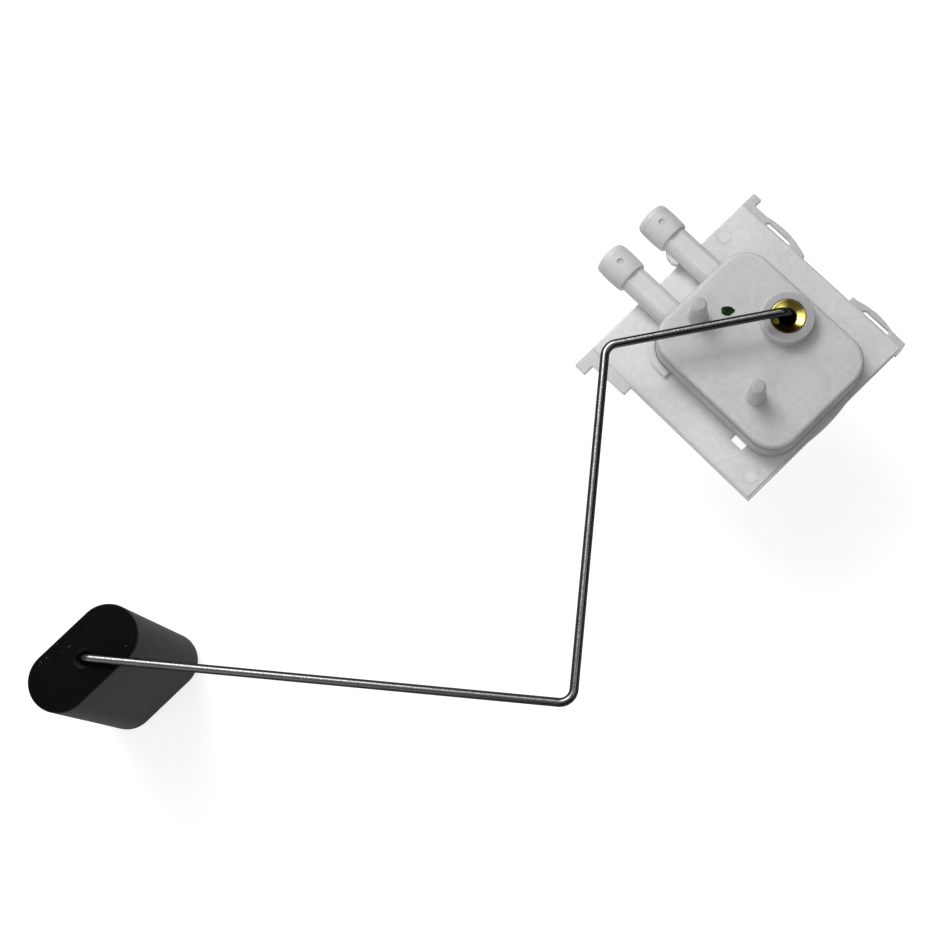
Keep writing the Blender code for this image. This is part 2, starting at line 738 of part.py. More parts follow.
def make_rotor():
    """Moulded rotor: disc, arm for the wiper spring, small boss and heat-staked stud."""
    half = ROTOR_ARM_WIDTH / 2
    edge = math.degrees(math.asin(half / ROTOR_RADIUS))
    tip = arc_points(half, -90, 90, 10, (ROTOR_ARM - half, 0))
    outline = arc_points(ROTOR_RADIUS, edge, 360 - edge, ROUND) + tip
    rotor = prism("wiper_rotor", [outline], ROTOR_LOW, ROTOR_TOP)
    boss = turned("boss", [(0, BOSS_LOW), (ROTOR_BOSS_RADIUS, BOSS_LOW),
                           (ROTOR_BOSS_RADIUS, ROTOR_LOW + EMBED), (0, ROTOR_LOW + EMBED)])
    stud_low = SPRING_TOP - SPRING_THICK - FIT
    stud = turned("stud", [(0, stud_low), (STUD_RADIUS, stud_low), (STUD_RADIUS, ROTOR_LOW + EMBED),
                           (0, ROTOR_LOW + EMBED)], SMALL_ROUND)
    stud.location.x = STUD_PLACE
    bore = turned("bore", [(0, BOSS_LOW - EMBED), (WIRE_BORE, BOSS_LOW - EMBED),
                           (WIRE_BORE, ROTOR_TOP + EMBED), (0, ROTOR_TOP + EMBED)])
    join(rotor, boss, stud)
    cut(rotor, bore)
    return rotor


def make_finger(reach, offset):
    """Spring finger, bent down to carry its contact button at the tip."""
    high = SPRING_TOP - SPRING_THICK / 2
    low = TIP_LOW + SPRING_THICK / 2
    bend = (reach - FINGER_TIP - SPRING_SPLIT) * FINGER_BEND
    path = [(SPRING_SPLIT - EMBED, high), (SPRING_SPLIT + bend, high),
            (reach - FINGER_TIP - bend, low), (reach + FINGER_TIP, low)]
    finger = prism("finger", [ribbon(path, SPRING_THICK)], -FINGER_WIDTH / 2, FINGER_WIDTH / 2)
    finger.data.transform(Matrix.Rotation(math.radians(90), 4, "X"))
    finger.location.y = offset
    return finger


def make_wiper_spring():
    """Stamped spring with two fingers, one for each track."""
    half = SPRING_WIDTH / 2
    outline = [(SPRING_START, -half), (SPRING_SPLIT, -half), (SPRING_SPLIT, half), (SPRING_START, half)]
    hole = ring_points(STUD_RADIUS + FIT, SMALL_ROUND, (STUD_PLACE, 0))
    spring = prism("wiper_spring", [outline, hole], SPRING_TOP - SPRING_THICK, SPRING_TOP)
    join(spring, make_finger(OUTER_REACH, FINGER_OFFSET), make_finger(INNER_REACH, -FINGER_OFFSET))
    return spring


def make_button(name, reach, offset):
    """Contact button, domed towards its track."""
    high = BUTTON_LOW + BUTTON_THICK
    shoulder = BUTTON_LOW + BUTTON_THICK / 2
    dome = [(BUTTON_RADIUS * math.sin(math.radians(a)),
             shoulder - BUTTON_THICK / 2 * math.cos(math.radians(a))) for a in (0, 30, 60, 90)]
    button = turned(name, dome + [(BUTTON_RADIUS, high), (0, high)], SMALL_ROUND)
    button.data.transform(Matrix.Translation((reach, offset, 0)))
    return button


def make_washer():
    low = WASHER_TOP - WASHER_THICK
    profile = [(WIRE_BORE, low), (WASHER_RADIUS, low), (WASHER_RADIUS, WASHER_TOP),
               (WIRE_BORE, WASHER_TOP)]
    return turned("thrust_washer", profile, hollow=True)


def make_wave_washer():
    """Thin ring whose height waves round the spindle."""
    washer = turned("wave_washer", [(WIRE_BORE, 0), (WAVE_RADIUS, 0), (WAVE_RADIUS, WAVE_THICK),
                                    (WIRE_BORE, WAVE_THICK)], hollow=True)
    swing = (WAVE_HEIGHT - WAVE_THICK) / 2
    for vert in washer.data.vertices:
        angle = math.atan2(vert.co.y, vert.co.x)
        vert.co.z += WAVE_TOP - WAVE_HEIGHT + swing * (1 + math.cos(WAVE_COUNT * angle))
    return washer


def make_float():
    """Foam float about its own axle, front face at height 0."""
    radius = FLOAT_WIDTH / 2
    half = FLOAT_LENGTH / 2 - radius
    outline = arc_points(radius, -90, 90, 16, (half, 0)) + arc_points(radius, 90, 270, 16, (-half, 0))
    body = prism("float", [outline], -FLOAT_DEPTH, 0)
    round_top_edges(body, 0, FLOAT_EDGE, 3)
    round_top_edges(body, -FLOAT_DEPTH, FLOAT_EDGE, 3)
    bore = turned("bore", [(0, -FLOAT_DEPTH - EMBED), (WIRE_BORE, -FLOAT_DEPTH - EMBED),
                           (WIRE_BORE, -SINK_DEPTH), (SINK_RADIUS, EMBED), (0, EMBED)], SMALL_ROUND)
    cut(body, bore)
    return body


def empty(name, place, parent=None):
    pivot = bpy.data.objects.new(name, None)
    bpy.context.scene.collection.objects.link(pivot)
    pivot.location = place
    pivot.parent = parent
    return pivot


def material(name, colour, roughness, metallic=0.0):
    made = bpy.data.materials.new(name)
    made.use_nodes = True
    shader = made.node_tree.nodes["Principled BSDF"]
    shader.inputs["Base Color"].default_value = (*colour, 1)
    shader.inputs["Roughness"].default_value = roughness
    shader.inputs["Metallic"].default_value = metallic
    return made


def finish(obj, made, parent=None):
    """Gives a piece its material, smooth shading and parent."""
    obj.data.materials.clear()
    obj.data.materials.append(made)
    obj.data.shade_smooth()
    obj.data.set_sharp_from_angle(angle=math.radians(35))
    obj.parent = parent


def build_fixed():
    """Carrier, cover and everything that stays put inside them."""
    acetal = material("natural_acetal", (0.80, 0.80, 0.78), 0.42)
    brass = material("brass", (0.86, 0.62, 0.16), 0.22, 1.0)
    ceramic = material("alumina", (0.88, 0.87, 0.84), 0.55)
    carbon = material("resistive_ink", (0.03, 0.03, 0.035), 0.5)
    silver = material("silver_ink", (0.70, 0.70, 0.68), 0.4, 0.8)
    tin = material("tinned_bronze", (0.66, 0.62, 0.55), 0.3, 1.0)
    finish(make_carrier(), acetal)
    finish(make_cover(), acetal)
    finish(make_bush(), brass)
    card = prism("resistor_card", [card_outline()], CARD_LOW, CARD_LOW + CARD_THICK)
    finish(card, ceramic)
    resistor = track_outline(RESISTOR_RADIUS, RESISTOR_START)
    collector = track_outline(COLLECTOR_RADIUS, COLLECTOR_START)
    finish(prism("resistor_track", [resistor], TRACK_LOW, TRACK_TOP), carbon)
    finish(prism("collector_track", [collector], TRACK_LOW, TRACK_TOP), silver)
    pads = [pad_place(RESISTOR_RADIUS, RESISTOR_START), pad_place(COLLECTOR_RADIUS, COLLECTOR_START)]
    for number, (x, pad) in enumerate(zip((SLEEVE_1_X, SLEEVE_2_X), pads), 1):
        finish(make_pad(f"solder_pad_{number}", pad), silver)
        finish(make_strip(f"contact_strip_{number}", x, pad), tin)
        finish(make_pin(f"terminal_pin_{number}", x), tin)


def build_arm():
    """Everything that turns with the arm, about the pivot axis."""
    steel = material("steel_wire", (0.50, 0.50, 0.50), 0.28, 1.0)
    spring_steel = material("spring_steel", (0.42, 0.42, 0.43), 0.35, 1.0)
    rotor_plastic = material("rotor_plastic", (0.72, 0.72, 0.70), 0.45)
    contact_alloy = material("contact_alloy", (0.78, 0.74, 0.66), 0.2, 1.0)
    pivot = empty("arm_pivot_axis", (0, 0, 0))
    finish(make_arm(), steel, pivot)
    finish(make_washer(), spring_steel, pivot)
    finish(make_wave_washer(), spring_steel, pivot)
    finish(push_clip("spindle_clip", SPINDLE_CLIP_RADIUS, CLIP_TOP), spring_steel, pivot)
    wiper = [make_rotor(), make_wiper_spring(),
             make_button("contact_button_1", OUTER_REACH, FINGER_OFFSET),
             make_button("contact_button_2", INNER_REACH, -FINGER_OFFSET)]
    for obj, made in zip(wiper, (rotor_plastic, spring_steel, contact_alloy, contact_alloy)):
        finish(obj, made, pivot)
        obj.rotation_euler.z = math.radians(ARM_HEADING + WIPER_LEAD)
    return pivot


def build_float(pivot):
    """Float and its clip, on the far end of the wire."""
    foam = material("nitrile_foam", (0.012, 0.012, 0.012), 0.6)
    axle = arm_corners()[-1]
    body = make_float()
    finish(body, foam, empty("float_axis", (axle.x, axle.y, 0), pivot))
    body.location.z = FLOAT_FRONT
    clip = push_clip("float_clip", FLOAT_CLIP_RADIUS, FLOAT_BACK - FIT)
    finish(clip, bpy.data.materials["spring_steel"], pivot)
    clip.location = (axle.x, axle.y, 0)


clear_scene()
build_fixed()
build_float(build_arm())
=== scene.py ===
# Fuel level sender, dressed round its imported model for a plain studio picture. Lengths are in
# metres and angles in degrees, in the frame of the model.
import json
import math

import bmesh
import bpy
from mathutils import Matrix, Vector


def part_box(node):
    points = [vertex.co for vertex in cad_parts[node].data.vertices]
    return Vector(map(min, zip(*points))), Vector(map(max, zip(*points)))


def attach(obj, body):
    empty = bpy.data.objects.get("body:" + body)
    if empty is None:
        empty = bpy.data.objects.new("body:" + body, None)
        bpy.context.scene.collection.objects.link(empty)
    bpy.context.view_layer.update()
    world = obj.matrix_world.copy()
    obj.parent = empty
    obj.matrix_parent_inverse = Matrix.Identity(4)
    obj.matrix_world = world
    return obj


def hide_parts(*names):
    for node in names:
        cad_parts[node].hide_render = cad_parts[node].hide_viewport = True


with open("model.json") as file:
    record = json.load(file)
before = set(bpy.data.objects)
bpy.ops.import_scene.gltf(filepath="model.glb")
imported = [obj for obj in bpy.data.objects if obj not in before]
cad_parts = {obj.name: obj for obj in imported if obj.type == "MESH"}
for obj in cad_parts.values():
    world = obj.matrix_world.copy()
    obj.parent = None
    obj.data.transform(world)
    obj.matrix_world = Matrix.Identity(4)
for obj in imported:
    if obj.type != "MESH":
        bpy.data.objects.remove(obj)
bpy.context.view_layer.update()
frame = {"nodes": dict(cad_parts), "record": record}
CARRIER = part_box("carrier")
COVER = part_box("cover")
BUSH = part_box("brass_bush")
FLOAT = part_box("float")
FLOAT_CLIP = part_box("float_clip")
PIN_1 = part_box("terminal_pin_1")
PIN_2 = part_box("terminal_pin_2")

# Camera over the arm's crook, with its focal length in pixels of the square picture
PICTURE = 927
FOCAL_PIXELS = 1700
SENSOR = 36
CAMERA_PLACE = (-0.1256, -0.06524, 0.44386)
CAMERA_RIGHT = (0.7197, -0.6883, -0.0908)
CAMERA_UP = (0.6888, 0.6916, 0.2175)

# Plate, as in the frame
PLATE_THICK = 0.0020
LEFT_EAR = 0.0061
RIGHT_EAR = 0.0043
PLATE_LEFT = -CARRIER[0].x - LEFT_EAR
PLATE_RIGHT = CARRIER[1].x - RIGHT_EAR
PLATE_BOTTOM = 0.0257
PLATE_TOP = 0.0329
LEFT_STOP = 0.0292          # underside of the left ear
RIGHT_STOP = 0.0301         # underside of the right ear
LUG_REACH = 0.0029
LUG_LOW = 0.0177
LUG_TAPER = 0.0003
RIM_STEP = 0.0004
RIM_TOP = PLATE_THICK - RIM_STEP
RIM_INSET = 0.0003
RIM_BOTTOM = 0.0006
GATE = (-0.0170, -0.0030)   # where the shallow bow in the lower edge starts and ends
GATE_RISE = 0.0005
GATE_STEP = 0.0003
FOOT_WIDTH = 0.0042
FOOT_REACH = 0.0005
FOOT_SLANT = 0.0002
FOOT_CORNER = 0.0016
SLOT = (-0.0313, -0.0292, -0.0150, -0.0109)

# Bowed springs on the plate's edge and the slits behind them: start and end on Y
SPRING_ROOT = 0.0015
SPRING_SLANT = 0.0004
UPPER_START = 0.0106
UPPER_BOW = (0.0116, 0.0255)
UPPER_RISE = 0.0010
LOWER_BOW = (-0.0203, -0.0080)
LOWER_END = -0.0064
LOWER_RISE = 0.0009
SLIT_INSET = 0.0001
SLIT_WIDTH = 0.0010
SLIT_TAPER = 0.0012
SLITS = [(0.0154, 0.0250), (-0.0206, -0.0106)]

# Corner rib and ejector marks on the plate's face
RIB_WIDTH = 0.0016
RIB_HEIGHT = 0.0010
RIB_LENGTH = 0.0100
MARK_RADIUS = 0.0016
MARK_DEPTH = 0.00003
MARKS = [(0.0079, 0.0298), (-0.0348, -0.0217)]

# Cover
COVER_LEFT = -COVER[0].x
COVER_RIGHT = COVER[1].x
COVER_LOW = -COVER[0].y
COVER_HIGH = COVER[1].y
COVER_TOP = 0.0110
COVER_WALL = 0.0013
COVER_ROOF = 0.0016
COVER_CORNER = 0.0080
COVER_FILLET = 0.0014
SEAM = (0.0086, 0.0095)     # low and high edge of the groove round the wall
SEAM_DEPTH = 0.0005
COLLAR_RADIUS = 0.0070
BUSH_SINK = 0.00015         # how much lower the bush's rim is than the collar's top
COLLAR_TOP = BUSH[1].z + BUSH_SINK
COLLAR_FILLET = 0.0004
SEAT_GAP = 0.0002           # round the bush in its seat
FOOT_FILLET = 0.0005
PEG_TOP = COVER[1].z
PEG_RADIUS = 0.0020
PEG_DRAFT = 0.0006
PEG_FILLET = 0.0007
PEGS = [(0.0232, 131.4), (0.0221, 202.5)]  # distance from the pivot, and direction
FIT = 0.0003                # between pieces that seat on or in each other

# Terminal sleeves, with the pins' axes as their own
SLEEVE_X = [(pin[0].x + pin[1].x) / 2 for pin in (PIN_1, PIN_2)]
SLEEVE_Z = (PIN_1[0].z + PIN_1[1].z) / 2
SLEEVE_SINK = 0.0022        # how far a tube reaches in under the cover
SLEEVE_START = COVER_HIGH - SLEEVE_SINK
TUBE_RADIUS = 0.0039
TUBE_FLAT = 0.0034
HEAD_LENGTH = 0.0090
MOUTH_Y = CARRIER[1].y
TUBE_END = MOUTH_Y - HEAD_LENGTH
HEAD_RADIUS = 0.0049
HEAD_BARREL = 0.00025
HEAD_FILLET = 0.0010
HEAD_LINE = 0.0020          # from the mouth to the line round the head
HEAD_LINE_DEPTH = 0.00012
HEAD_LINE_WAIST = 0.3       # share of its barrel that the head has lost at the line
HEAD_STEPS = 10
MOUTH_RADIUS = 0.0033
MOUTH_DEPTH = 0.0082
MOUTH_CHAMFER = 0.0004
WINDOW_Y = MOUTH_Y - HEAD_LENGTH / 2
WINDOW_RADIUS = 0.0010
WINDOW_FLOOR = 0.0008       # radius of the dimple's floor
WINDOW_DEPTH = 0.0006
NUB_REACH = 0.0013
NUB_LENGTH = 0.0050
NUB_HEIGHT = 0.0024
NUB_PLACE = 0.0020          # from the plate's top edge to the nub's middle
PIN_RADIUS = 0.0009
PIN_FOOT = 0.00072
PIN_TIP = 0.000405

# Wire, from its spindle end to its axle end
WIRE_RADIUS = 0.00115
PEG_SPARE = 0.0002          # how far the pegs stand over the wire
WIRE_Z = PEG_TOP - PEG_SPARE - WIRE_RADIUS
ARM_HEADING = 146
INNER_RUN = 0.0481
MIDDLE_RUN = 0.0925
OUTER_RUN = 0.1261
KNEE_1_TURN = 74.2
KNEE_2_TURN = -89.7
KNEE_RADIUS = 0.0036
END_BEND_RADIUS = 0.0028
BEND_STEPS = 14
WIRE_STEPS = 48
HIGHLIGHT_SIDE = (0, 0.12, 0.993)  # direction that the painted highlight along the wire faces

# Brass bush
DISH_RIM = 0.0004
DISH_SPHERE = 0.0088        # radius of the sphere that the dish is cut from
THROAT_RADIUS = 0.0024
THROAT_DEPTH = 0.0024
BUSH_NECK = 0.0030
BUSH_HEAD = 0.0024
WIRE_BORE = WIRE_RADIUS + FIT

# Float and clip
FLOAT_EDGE = 0.0007
SINK_RADIUS = 0.0028
SINK_DEPTH = 0.0024
CLIP_TEETH = 6
CLIP_TOOTH = (0, 26)        # from where to where a tooth grips and its gap is full
CLIP_GAP = (32, 54)
CLIP_NOTCH = 0.0007
CLIP_EDGE = 0.00005

# Green paint on the cover
DAB_PLACE = (-0.0089, 0.0128)
DAB_RADII = (0.00175, 0.0013)
DAB_TURN = -44
DAB_HEIGHT = 0.00012
DAB_STEPS = 48
# Shares of the dab's size and height, and its edge's waves: how many, where they start, how deep
DAB_RINGS = ((1, -0.2), (1, 0.25), (0.93, 0.7), (0.75, 0.95), (0.4, 1.0))
DAB_WAVES = ((3, 1, 0.06), (5, 2, 0.04), (9, 0, 0.02))

# Housing wall of the carrier, inside the cover
POCKET_WALL = 0.0012
POCKET_INSET = COVER_WALL + FIT
POCKET_GAP = 0.0005
POCKET_TOP = COVER_TOP - COVER_ROOF - POCKET_GAP
BOSS_RADIUS = 0.0032
BOSS_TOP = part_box("spindle_clip")[0].z - FIT

# Meshes
EDGE = 0.0002               # mould radius of plastic edges
BURIED = 0.0007             # how far a shape reaches into the one that it joins
RELIEF = 0.00006            # keeps level faces apart in a boolean
MERGE = 1e-6
ROUND = 96
EDGE_STEPS = 3
FLAT_TURN = 25              # a corner that turns less stays as it is
CORNER_SHARE = 0.45         # how much of a side its rounded corner may take
MITRE_LIMIT = 0.5


def finished_mesh(name, bm):
    """Makes an object of a bmesh, with doubles merged and faces pointing out."""
    bmesh.ops.remove_doubles(bm, verts=bm.verts[:], dist=MERGE)
    bmesh.ops.recalc_face_normals(bm, faces=bm.faces[:])
    mesh = bpy.data.meshes.new(name)
    bm.to_mesh(mesh)
    bm.free()
    obj = bpy.data.objects.new(name, mesh)
    bpy.context.scene.collection.objects.link(obj)
    return obj


def bake(obj):
    """Keeps what an object's modifiers make and removes the modifiers."""
    graph = bpy.context.evaluated_depsgraph_get()
    mesh = bpy.data.meshes.new_from_object(obj.evaluated_get(graph))
    obj.modifiers.clear()
    obj.data = mesh


def boolean(target, operation, *others):
    for other in others:
        modifier = target.modifiers.new(operation, "BOOLEAN")
        modifier.operation = operation
        modifier.solver = "EXACT"
        modifier.object = other
        bake(target)
        bpy.data.objects.remove(other)


def place(obj, where=(0, 0, 0), turn=None):
    """Puts a turn and a place into the mesh itself."""
    matrix = Matrix.Translation(where)
    obj.data.transform(matrix @ turn if turn else matrix)
    return obj


def shade(obj, degrees=32):
    """Smooth shading that keeps edges sharp and flats flat."""
    bm = bmesh.new()
    bm.from_mesh(obj.data)
    bmesh.ops.remove_doubles(bm, verts=bm.verts[:], dist=MERGE)
    bm.to_mesh(obj.data)
    bm.free()
    obj.data.shade_smooth()
    obj.data.set_sharp_from_angle(angle=math.radians(degrees))
    modifier = obj.modifiers.new("weights", "WEIGHTED_NORMAL")
    modifier.keep_sharp = True
    bake(obj)


def arc(radius, start, end, steps, centre=(0, 0)):
    """Points on an arc between two angles in degrees, both ends included."""
    angles = [math.radians(start + (end - start) * step / steps) for step in range(steps + 1)]
    return [(centre[0] + radius * math.cos(a), centre[1] + radius * math.sin(a)) for a in angles]


def bow(start, end, rise, steps=24):
    """Points on a shallow arc that bulges to the right of its direction."""
    start = Vector(start)
    chord = Vector(end) - start
    radius = (chord.length ** 2 / 4 + rise ** 2) / (2 * rise)
    right = Vector((chord.y, -chord.x)).normalized()
    ahead = chord.normalized()
    centre = start + chord / 2 - right * (radius - rise)
    half = math.asin(chord.length / 2 / radius)
    angles = [half * (2 * step / steps - 1) for step in range(steps + 1)]
    return [tuple(centre + (right * math.cos(a) + ahead * math.sin(a)) * radius) for a in angles]


def softened(points, radius, steps=4):
    """Outline with its sharp corners rounded."""
    made = []
    for index, corner in enumerate(points):
        corner = Vector(corner)
        back = Vector(points[index - 1]) - corner
        ahead = Vector(points[(index + 1) % len(points)]) - corner
        half = back.angle(ahead) / 2
        reach = min(radius / math.tan(half), min(back.length, ahead.length) * CORNER_SHARE)
        if math.pi - 2 * half < math.radians(FLAT_TURN):
            made.append(tuple(corner))
            continue
        back.normalize()
        ahead.normalize()
        for step in range(steps + 1):
            share = step / steps
            near = corner + back * reach * (1 - share) ** 2 + ahead * reach * share ** 2
            made.append(tuple(near))
    return made


def inset(points, distance):
    """Moves a counter-clockwise outline inwards, with mitred corners."""
    moved = []
    for index, point in enumerate(points):
        point = Vector(point)
        before = (point - Vector(points[index - 1])).normalized()
        after = (Vector(points[(index + 1) % len(points)]) - point).normalized()
        inward = Vector((-before.y - after.y, before.x + after.x)).normalized()
        cosine = max(inward.dot(Vector((-after.y, after.x))), MITRE_LIMIT)
        moved.append(tuple(point + inward * distance / cosine))
    return moved


def join_rings(bm, rings):
    """Walls between each ring of vertices and the next."""
    for lower, upper in zip(rings, rings[1:]):
        for index in range(len(lower)):
            bm.faces.new((lower[index - 1], lower[index], upper[index], upper[index - 1]))


def slab(name, outline, low, high, holes=(), edges=(EDGE, EDGE), steps=EDGE_STEPS, waist=()):
    """Flat moulding between two heights, with rounded rims and a waist of (depth, height) pairs."""
    turns = [math.pi / 2 * step / steps for step in range(steps + 1)]
    foot, rim = [[(radius * (1 - math.sin(turn)), radius * (1 - math.cos(turn))) for turn in turns]
                 for radius in edges]
    levels = [(depth, low + rise) for depth, rise in foot]
    levels += [*waist, *[(depth, high - drop) for depth, drop in reversed(rim)]]
    bm = bmesh.new()
    ends = ([], [])
    for loop, side in [(outline, 1)] + [(hole, -1) for hole in holes]:
        rings = [[bm.verts.new((x, y, height)) for x, y in inset(loop, side * depth)]
                 for depth, height in levels]
        join_rings(bm, rings)
        ends[0].append(rings[0])
        ends[1].append(rings[-1])
    for loops in ends:
        border = [bm.edges.get((ring[i - 1], ring[i])) for ring in loops for i in range(len(ring))]
        bmesh.ops.triangle_fill(bm, use_beauty=True, edges=border)
    return finished_mesh(name, bm)


def turned(name, profile, steps=ROUND, hollow=False):
    """Revolves (radius, height) points about Z; a hollow profile is a closed loop off the axis."""
    bm = bmesh.new()
    verts = [bm.verts.new((radius, 0, height)) for radius, height in profile]
    pairs = list(zip(verts, verts[1:])) + ([(verts[-1], verts[0])] if hollow else [])
    edges = [bm.edges.new(pair) for pair in pairs]
    bmesh.ops.spin(bm, geom=verts + edges, axis=(0, 0, 1), cent=(0, 0, 0), angle=math.tau,
                   steps=steps, use_merge=True)
    return finished_mesh(name, bm)


# Turns that lay a shape made about Z along Y, its top towards -Y or +Y
LAY_BACK = Matrix.Rotation(math.radians(90), 4, "X")
LAY_AHEAD = Matrix.Rotation(math.radians(-90), 4, "X")


def polar(distance, angle):
    return (distance * math.cos(math.radians(angle)), distance * math.sin(math.radians(angle)))


def block(left, right, low, high):
    return [(left, low), (right, low), (right, high), (left, high)]


def round_block(left, right, low, high, corner, steps=14):
    """Outline of a rectangle with round corners."""
    points = []
    for x, y, start in ((right - corner, low + corner, -90), (right - corner, high - corner, 0),
                        (left + corner, high - corner, 90), (left + corner, low + corner, 180)):
        points += arc(corner, start, start + 90, steps, (x, y))
    return points


def make_camera():
    data = bpy.data.cameras.new("camera")
    data.sensor_width = SENSOR
    data.lens = FOCAL_PIXELS / PICTURE * SENSOR
    data.clip_start = 0.01
    data.clip_end = 10
    camera = bpy.data.objects.new("camera", data)
    right = Vector(CAMERA_RIGHT).normalized()
    up = Vector(CAMERA_UP)
    up = (up - right * up.dot(right)).normalized()
    turn = Matrix((right, up, right.cross(up))).transposed()
    camera.matrix_world = Matrix.Translation(CAMERA_PLACE) @ turn.to_4x4()
    bpy.context.scene.collection.objects.link(camera)
    bpy.context.scene.camera = camera


def foot_points(root):
    """Foot of the sprung edge, at the plate's right-hand bottom corner."""
    inner = root - FOOT_WIDTH
    high = -PLATE_BOTTOM + FOOT_SLANT * 2
    low = high - FOOT_REACH
    return [(inner, high), (inner, low), (root - FOOT_CORNER, low + FOOT_SLANT),
            (root, low + FOOT_SLANT * 3)]


def plate_points():
    """The plate with its foot, bowed springs, ears and lug."""
    root = PLATE_RIGHT + SPRING_ROOT
    end = PLATE_RIGHT + RIGHT_EAR
    low = -PLATE_BOTTOM
    points = [(-PLATE_LEFT, low), *bow((GATE[0], low), (GATE[1], low + GATE_STEP), GATE_RISE)]
    points += [(0, low + FOOT_SLANT * 2), *foot_points(root)]
    points += bow((root + SPRING_SLANT / 2, LOWER_BOW[0]), (root, LOWER_BOW[1]), LOWER_RISE)
    points += [(root, LOWER_END), (PLATE_RIGHT, LOWER_END)]
    points += [(PLATE_RIGHT, UPPER_START), (PLATE_RIGHT + SPRING_ROOT / 2, UPPER_START)]
    points += bow((root - SPRING_SLANT, UPPER_BOW[0]), (root + SPRING_SLANT, UPPER_BOW[1]),
                  UPPER_RISE)
    points += [(root + SPRING_SLANT, RIGHT_STOP), (end, RIGHT_STOP), (end, PLATE_TOP)]
    points += [(-PLATE_LEFT - LEFT_EAR, PLATE_TOP), (-PLATE_LEFT - LEFT_EAR, LEFT_STOP)]
    points += [(-PLATE_LEFT - LUG_REACH, LEFT_STOP)]
    points += [(-PLATE_LEFT - LUG_REACH + LUG_TAPER, LUG_LOW), (-PLATE_LEFT, LUG_LOW)]
    return softened(points, EDGE)


def face_points():
    """The plate's raised face, inside its lower rim."""
    outline = block(-PLATE_LEFT + RIM_INSET, PLATE_RIGHT - RIM_INSET, -PLATE_BOTTOM + RIM_BOTTOM,
                    PLATE_TOP - RELIEF)
    return softened(outline, EDGE * 2)


def slit_points(start, end):
    """Narrow slit behind a bowed spring, pointed at its ends."""
    inner = PLATE_RIGHT + SLIT_INSET
    outer = inner + SLIT_WIDTH
    return softened([(inner, start), (outer, start + SLIT_TAPER), (outer, end - SLIT_TAPER),
                     (inner, end)], EDGE)


def rib_points():
    """Rib that hugs the corner of the cover's foot next to the lug."""
    inner = COVER_CORNER + FIT
    outer = inner + RIB_WIDTH
    centre = (-COVER_LEFT + COVER_CORNER, COVER_HIGH - COVER_CORNER)
    end = centre[1] - (RIB_LENGTH - COVER_CORNER)
    points = [(centre[0] - inner, end), *arc(inner, 180, 90, 16, centre)]
    points += [*arc(outer, 90, 180, 16, centre), (centre[0] - outer, end)]
    return softened(points, EDGE)[::-1]


def tube_points():
    """Section of a terminal tube: round, with a flat front."""
    edge = math.degrees(math.asin(TUBE_FLAT / TUBE_RADIUS))
    return softened(arc(TUBE_RADIUS, 180 - edge, 360 + edge, 48), EDGE)


def notch_points():
    """Opening in the cover's wall round a tube, open to the plate."""
    radius = TUBE_RADIUS + FIT
    edge = math.degrees(math.asin((TUBE_FLAT + FIT) / radius))
    foot = PLATE_THICK - SLEEVE_Z - FIT
    return [(-radius, foot), (radius, foot), *arc(radius, 0, edge, 12),
            *arc(radius, 180 - edge, 180, 12)]


def head_profile():
    """Half section of a barrel head, from its shoulder to its mouth, with the line round it."""
    end = HEAD_RADIUS - HEAD_BARREL
    middle = TUBE_END + HEAD_LENGTH / 2
    line = MOUTH_Y - HEAD_LINE
    at_line = HEAD_RADIUS - HEAD_BARREL * HEAD_LINE_WAIST
    sides = [(at_line, line - HEAD_LINE_DEPTH), (at_line - HEAD_LINE_DEPTH, line),
             (at_line - HEAD_LINE_DEPTH / 3, line + HEAD_LINE_DEPTH)]
    for step in range(-HEAD_STEPS, HEAD_STEPS):
        share = step / HEAD_STEPS
        y = middle + HEAD_LENGTH / 2 * share
        if abs(y - line) > HEAD_LINE_DEPTH * 2 and TUBE_END + EDGE < y < MOUTH_Y - HEAD_FILLET:
            sides.append((HEAD_RADIUS - HEAD_BARREL * share ** 2, y))
    sides.sort(key=lambda point: point[1])
    shoulder = arc(EDGE, -90, 0, 3, (end - EDGE, TUBE_END + EDGE))
    mouth = arc(HEAD_FILLET, 0, 90, 6, (end - HEAD_FILLET, MOUTH_Y - HEAD_FILLET))
    return [(0, TUBE_END), *shoulder, *sides, *mouth, (0, MOUTH_Y)]


def bore_profile():
    """Bore for the pin: a neck, and a wide mouth with a chamfer."""
    floor = MOUTH_Y - MOUTH_DEPTH
    neck = PIN_RADIUS + FIT
    wide = MOUTH_RADIUS + MOUTH_CHAMFER
    return [(0, SLEEVE_START - BURIED), (neck, SLEEVE_START - BURIED), (neck, floor),
            (MOUTH_RADIUS, floor), (MOUTH_RADIUS, MOUTH_Y - MOUTH_CHAMFER), (wide, MOUTH_Y),
            (wide, MOUTH_Y + EDGE), (0, MOUTH_Y + EDGE)]


def make_sleeve(x):
    """Terminal sleeve with its tube, barrel head, mouth and round dimple."""
    tube = slab("tube", tube_points(), -TUBE_END - BURIED, -SLEEVE_START, edges=(RELIEF, RELIEF))
    place(tube, turn=LAY_BACK)
    head = place(turned("head", head_profile()), turn=LAY_AHEAD)
    bore = place(turned("bore", bore_profile()), turn=LAY_AHEAD)
    window = turned("window", [(0, -WINDOW_DEPTH), (WINDOW_FLOOR, -WINDOW_DEPTH),
                               (WINDOW_RADIUS, WINDOW_DEPTH), (0, WINDOW_DEPTH)], 32)
    place(window, (0, WINDOW_Y, HEAD_RADIUS))
    boolean(tube, "UNION", head)
    boolean(tube, "DIFFERENCE", bore, window)
    return place(tube, (x, 0, SLEEVE_Z))


def cover_points(depth):
    """The cover's outline, at a depth in from its face."""
    return inset(round_block(-COVER_LEFT, COVER_RIGHT, -COVER_LOW, COVER_HIGH, COVER_CORNER), depth)


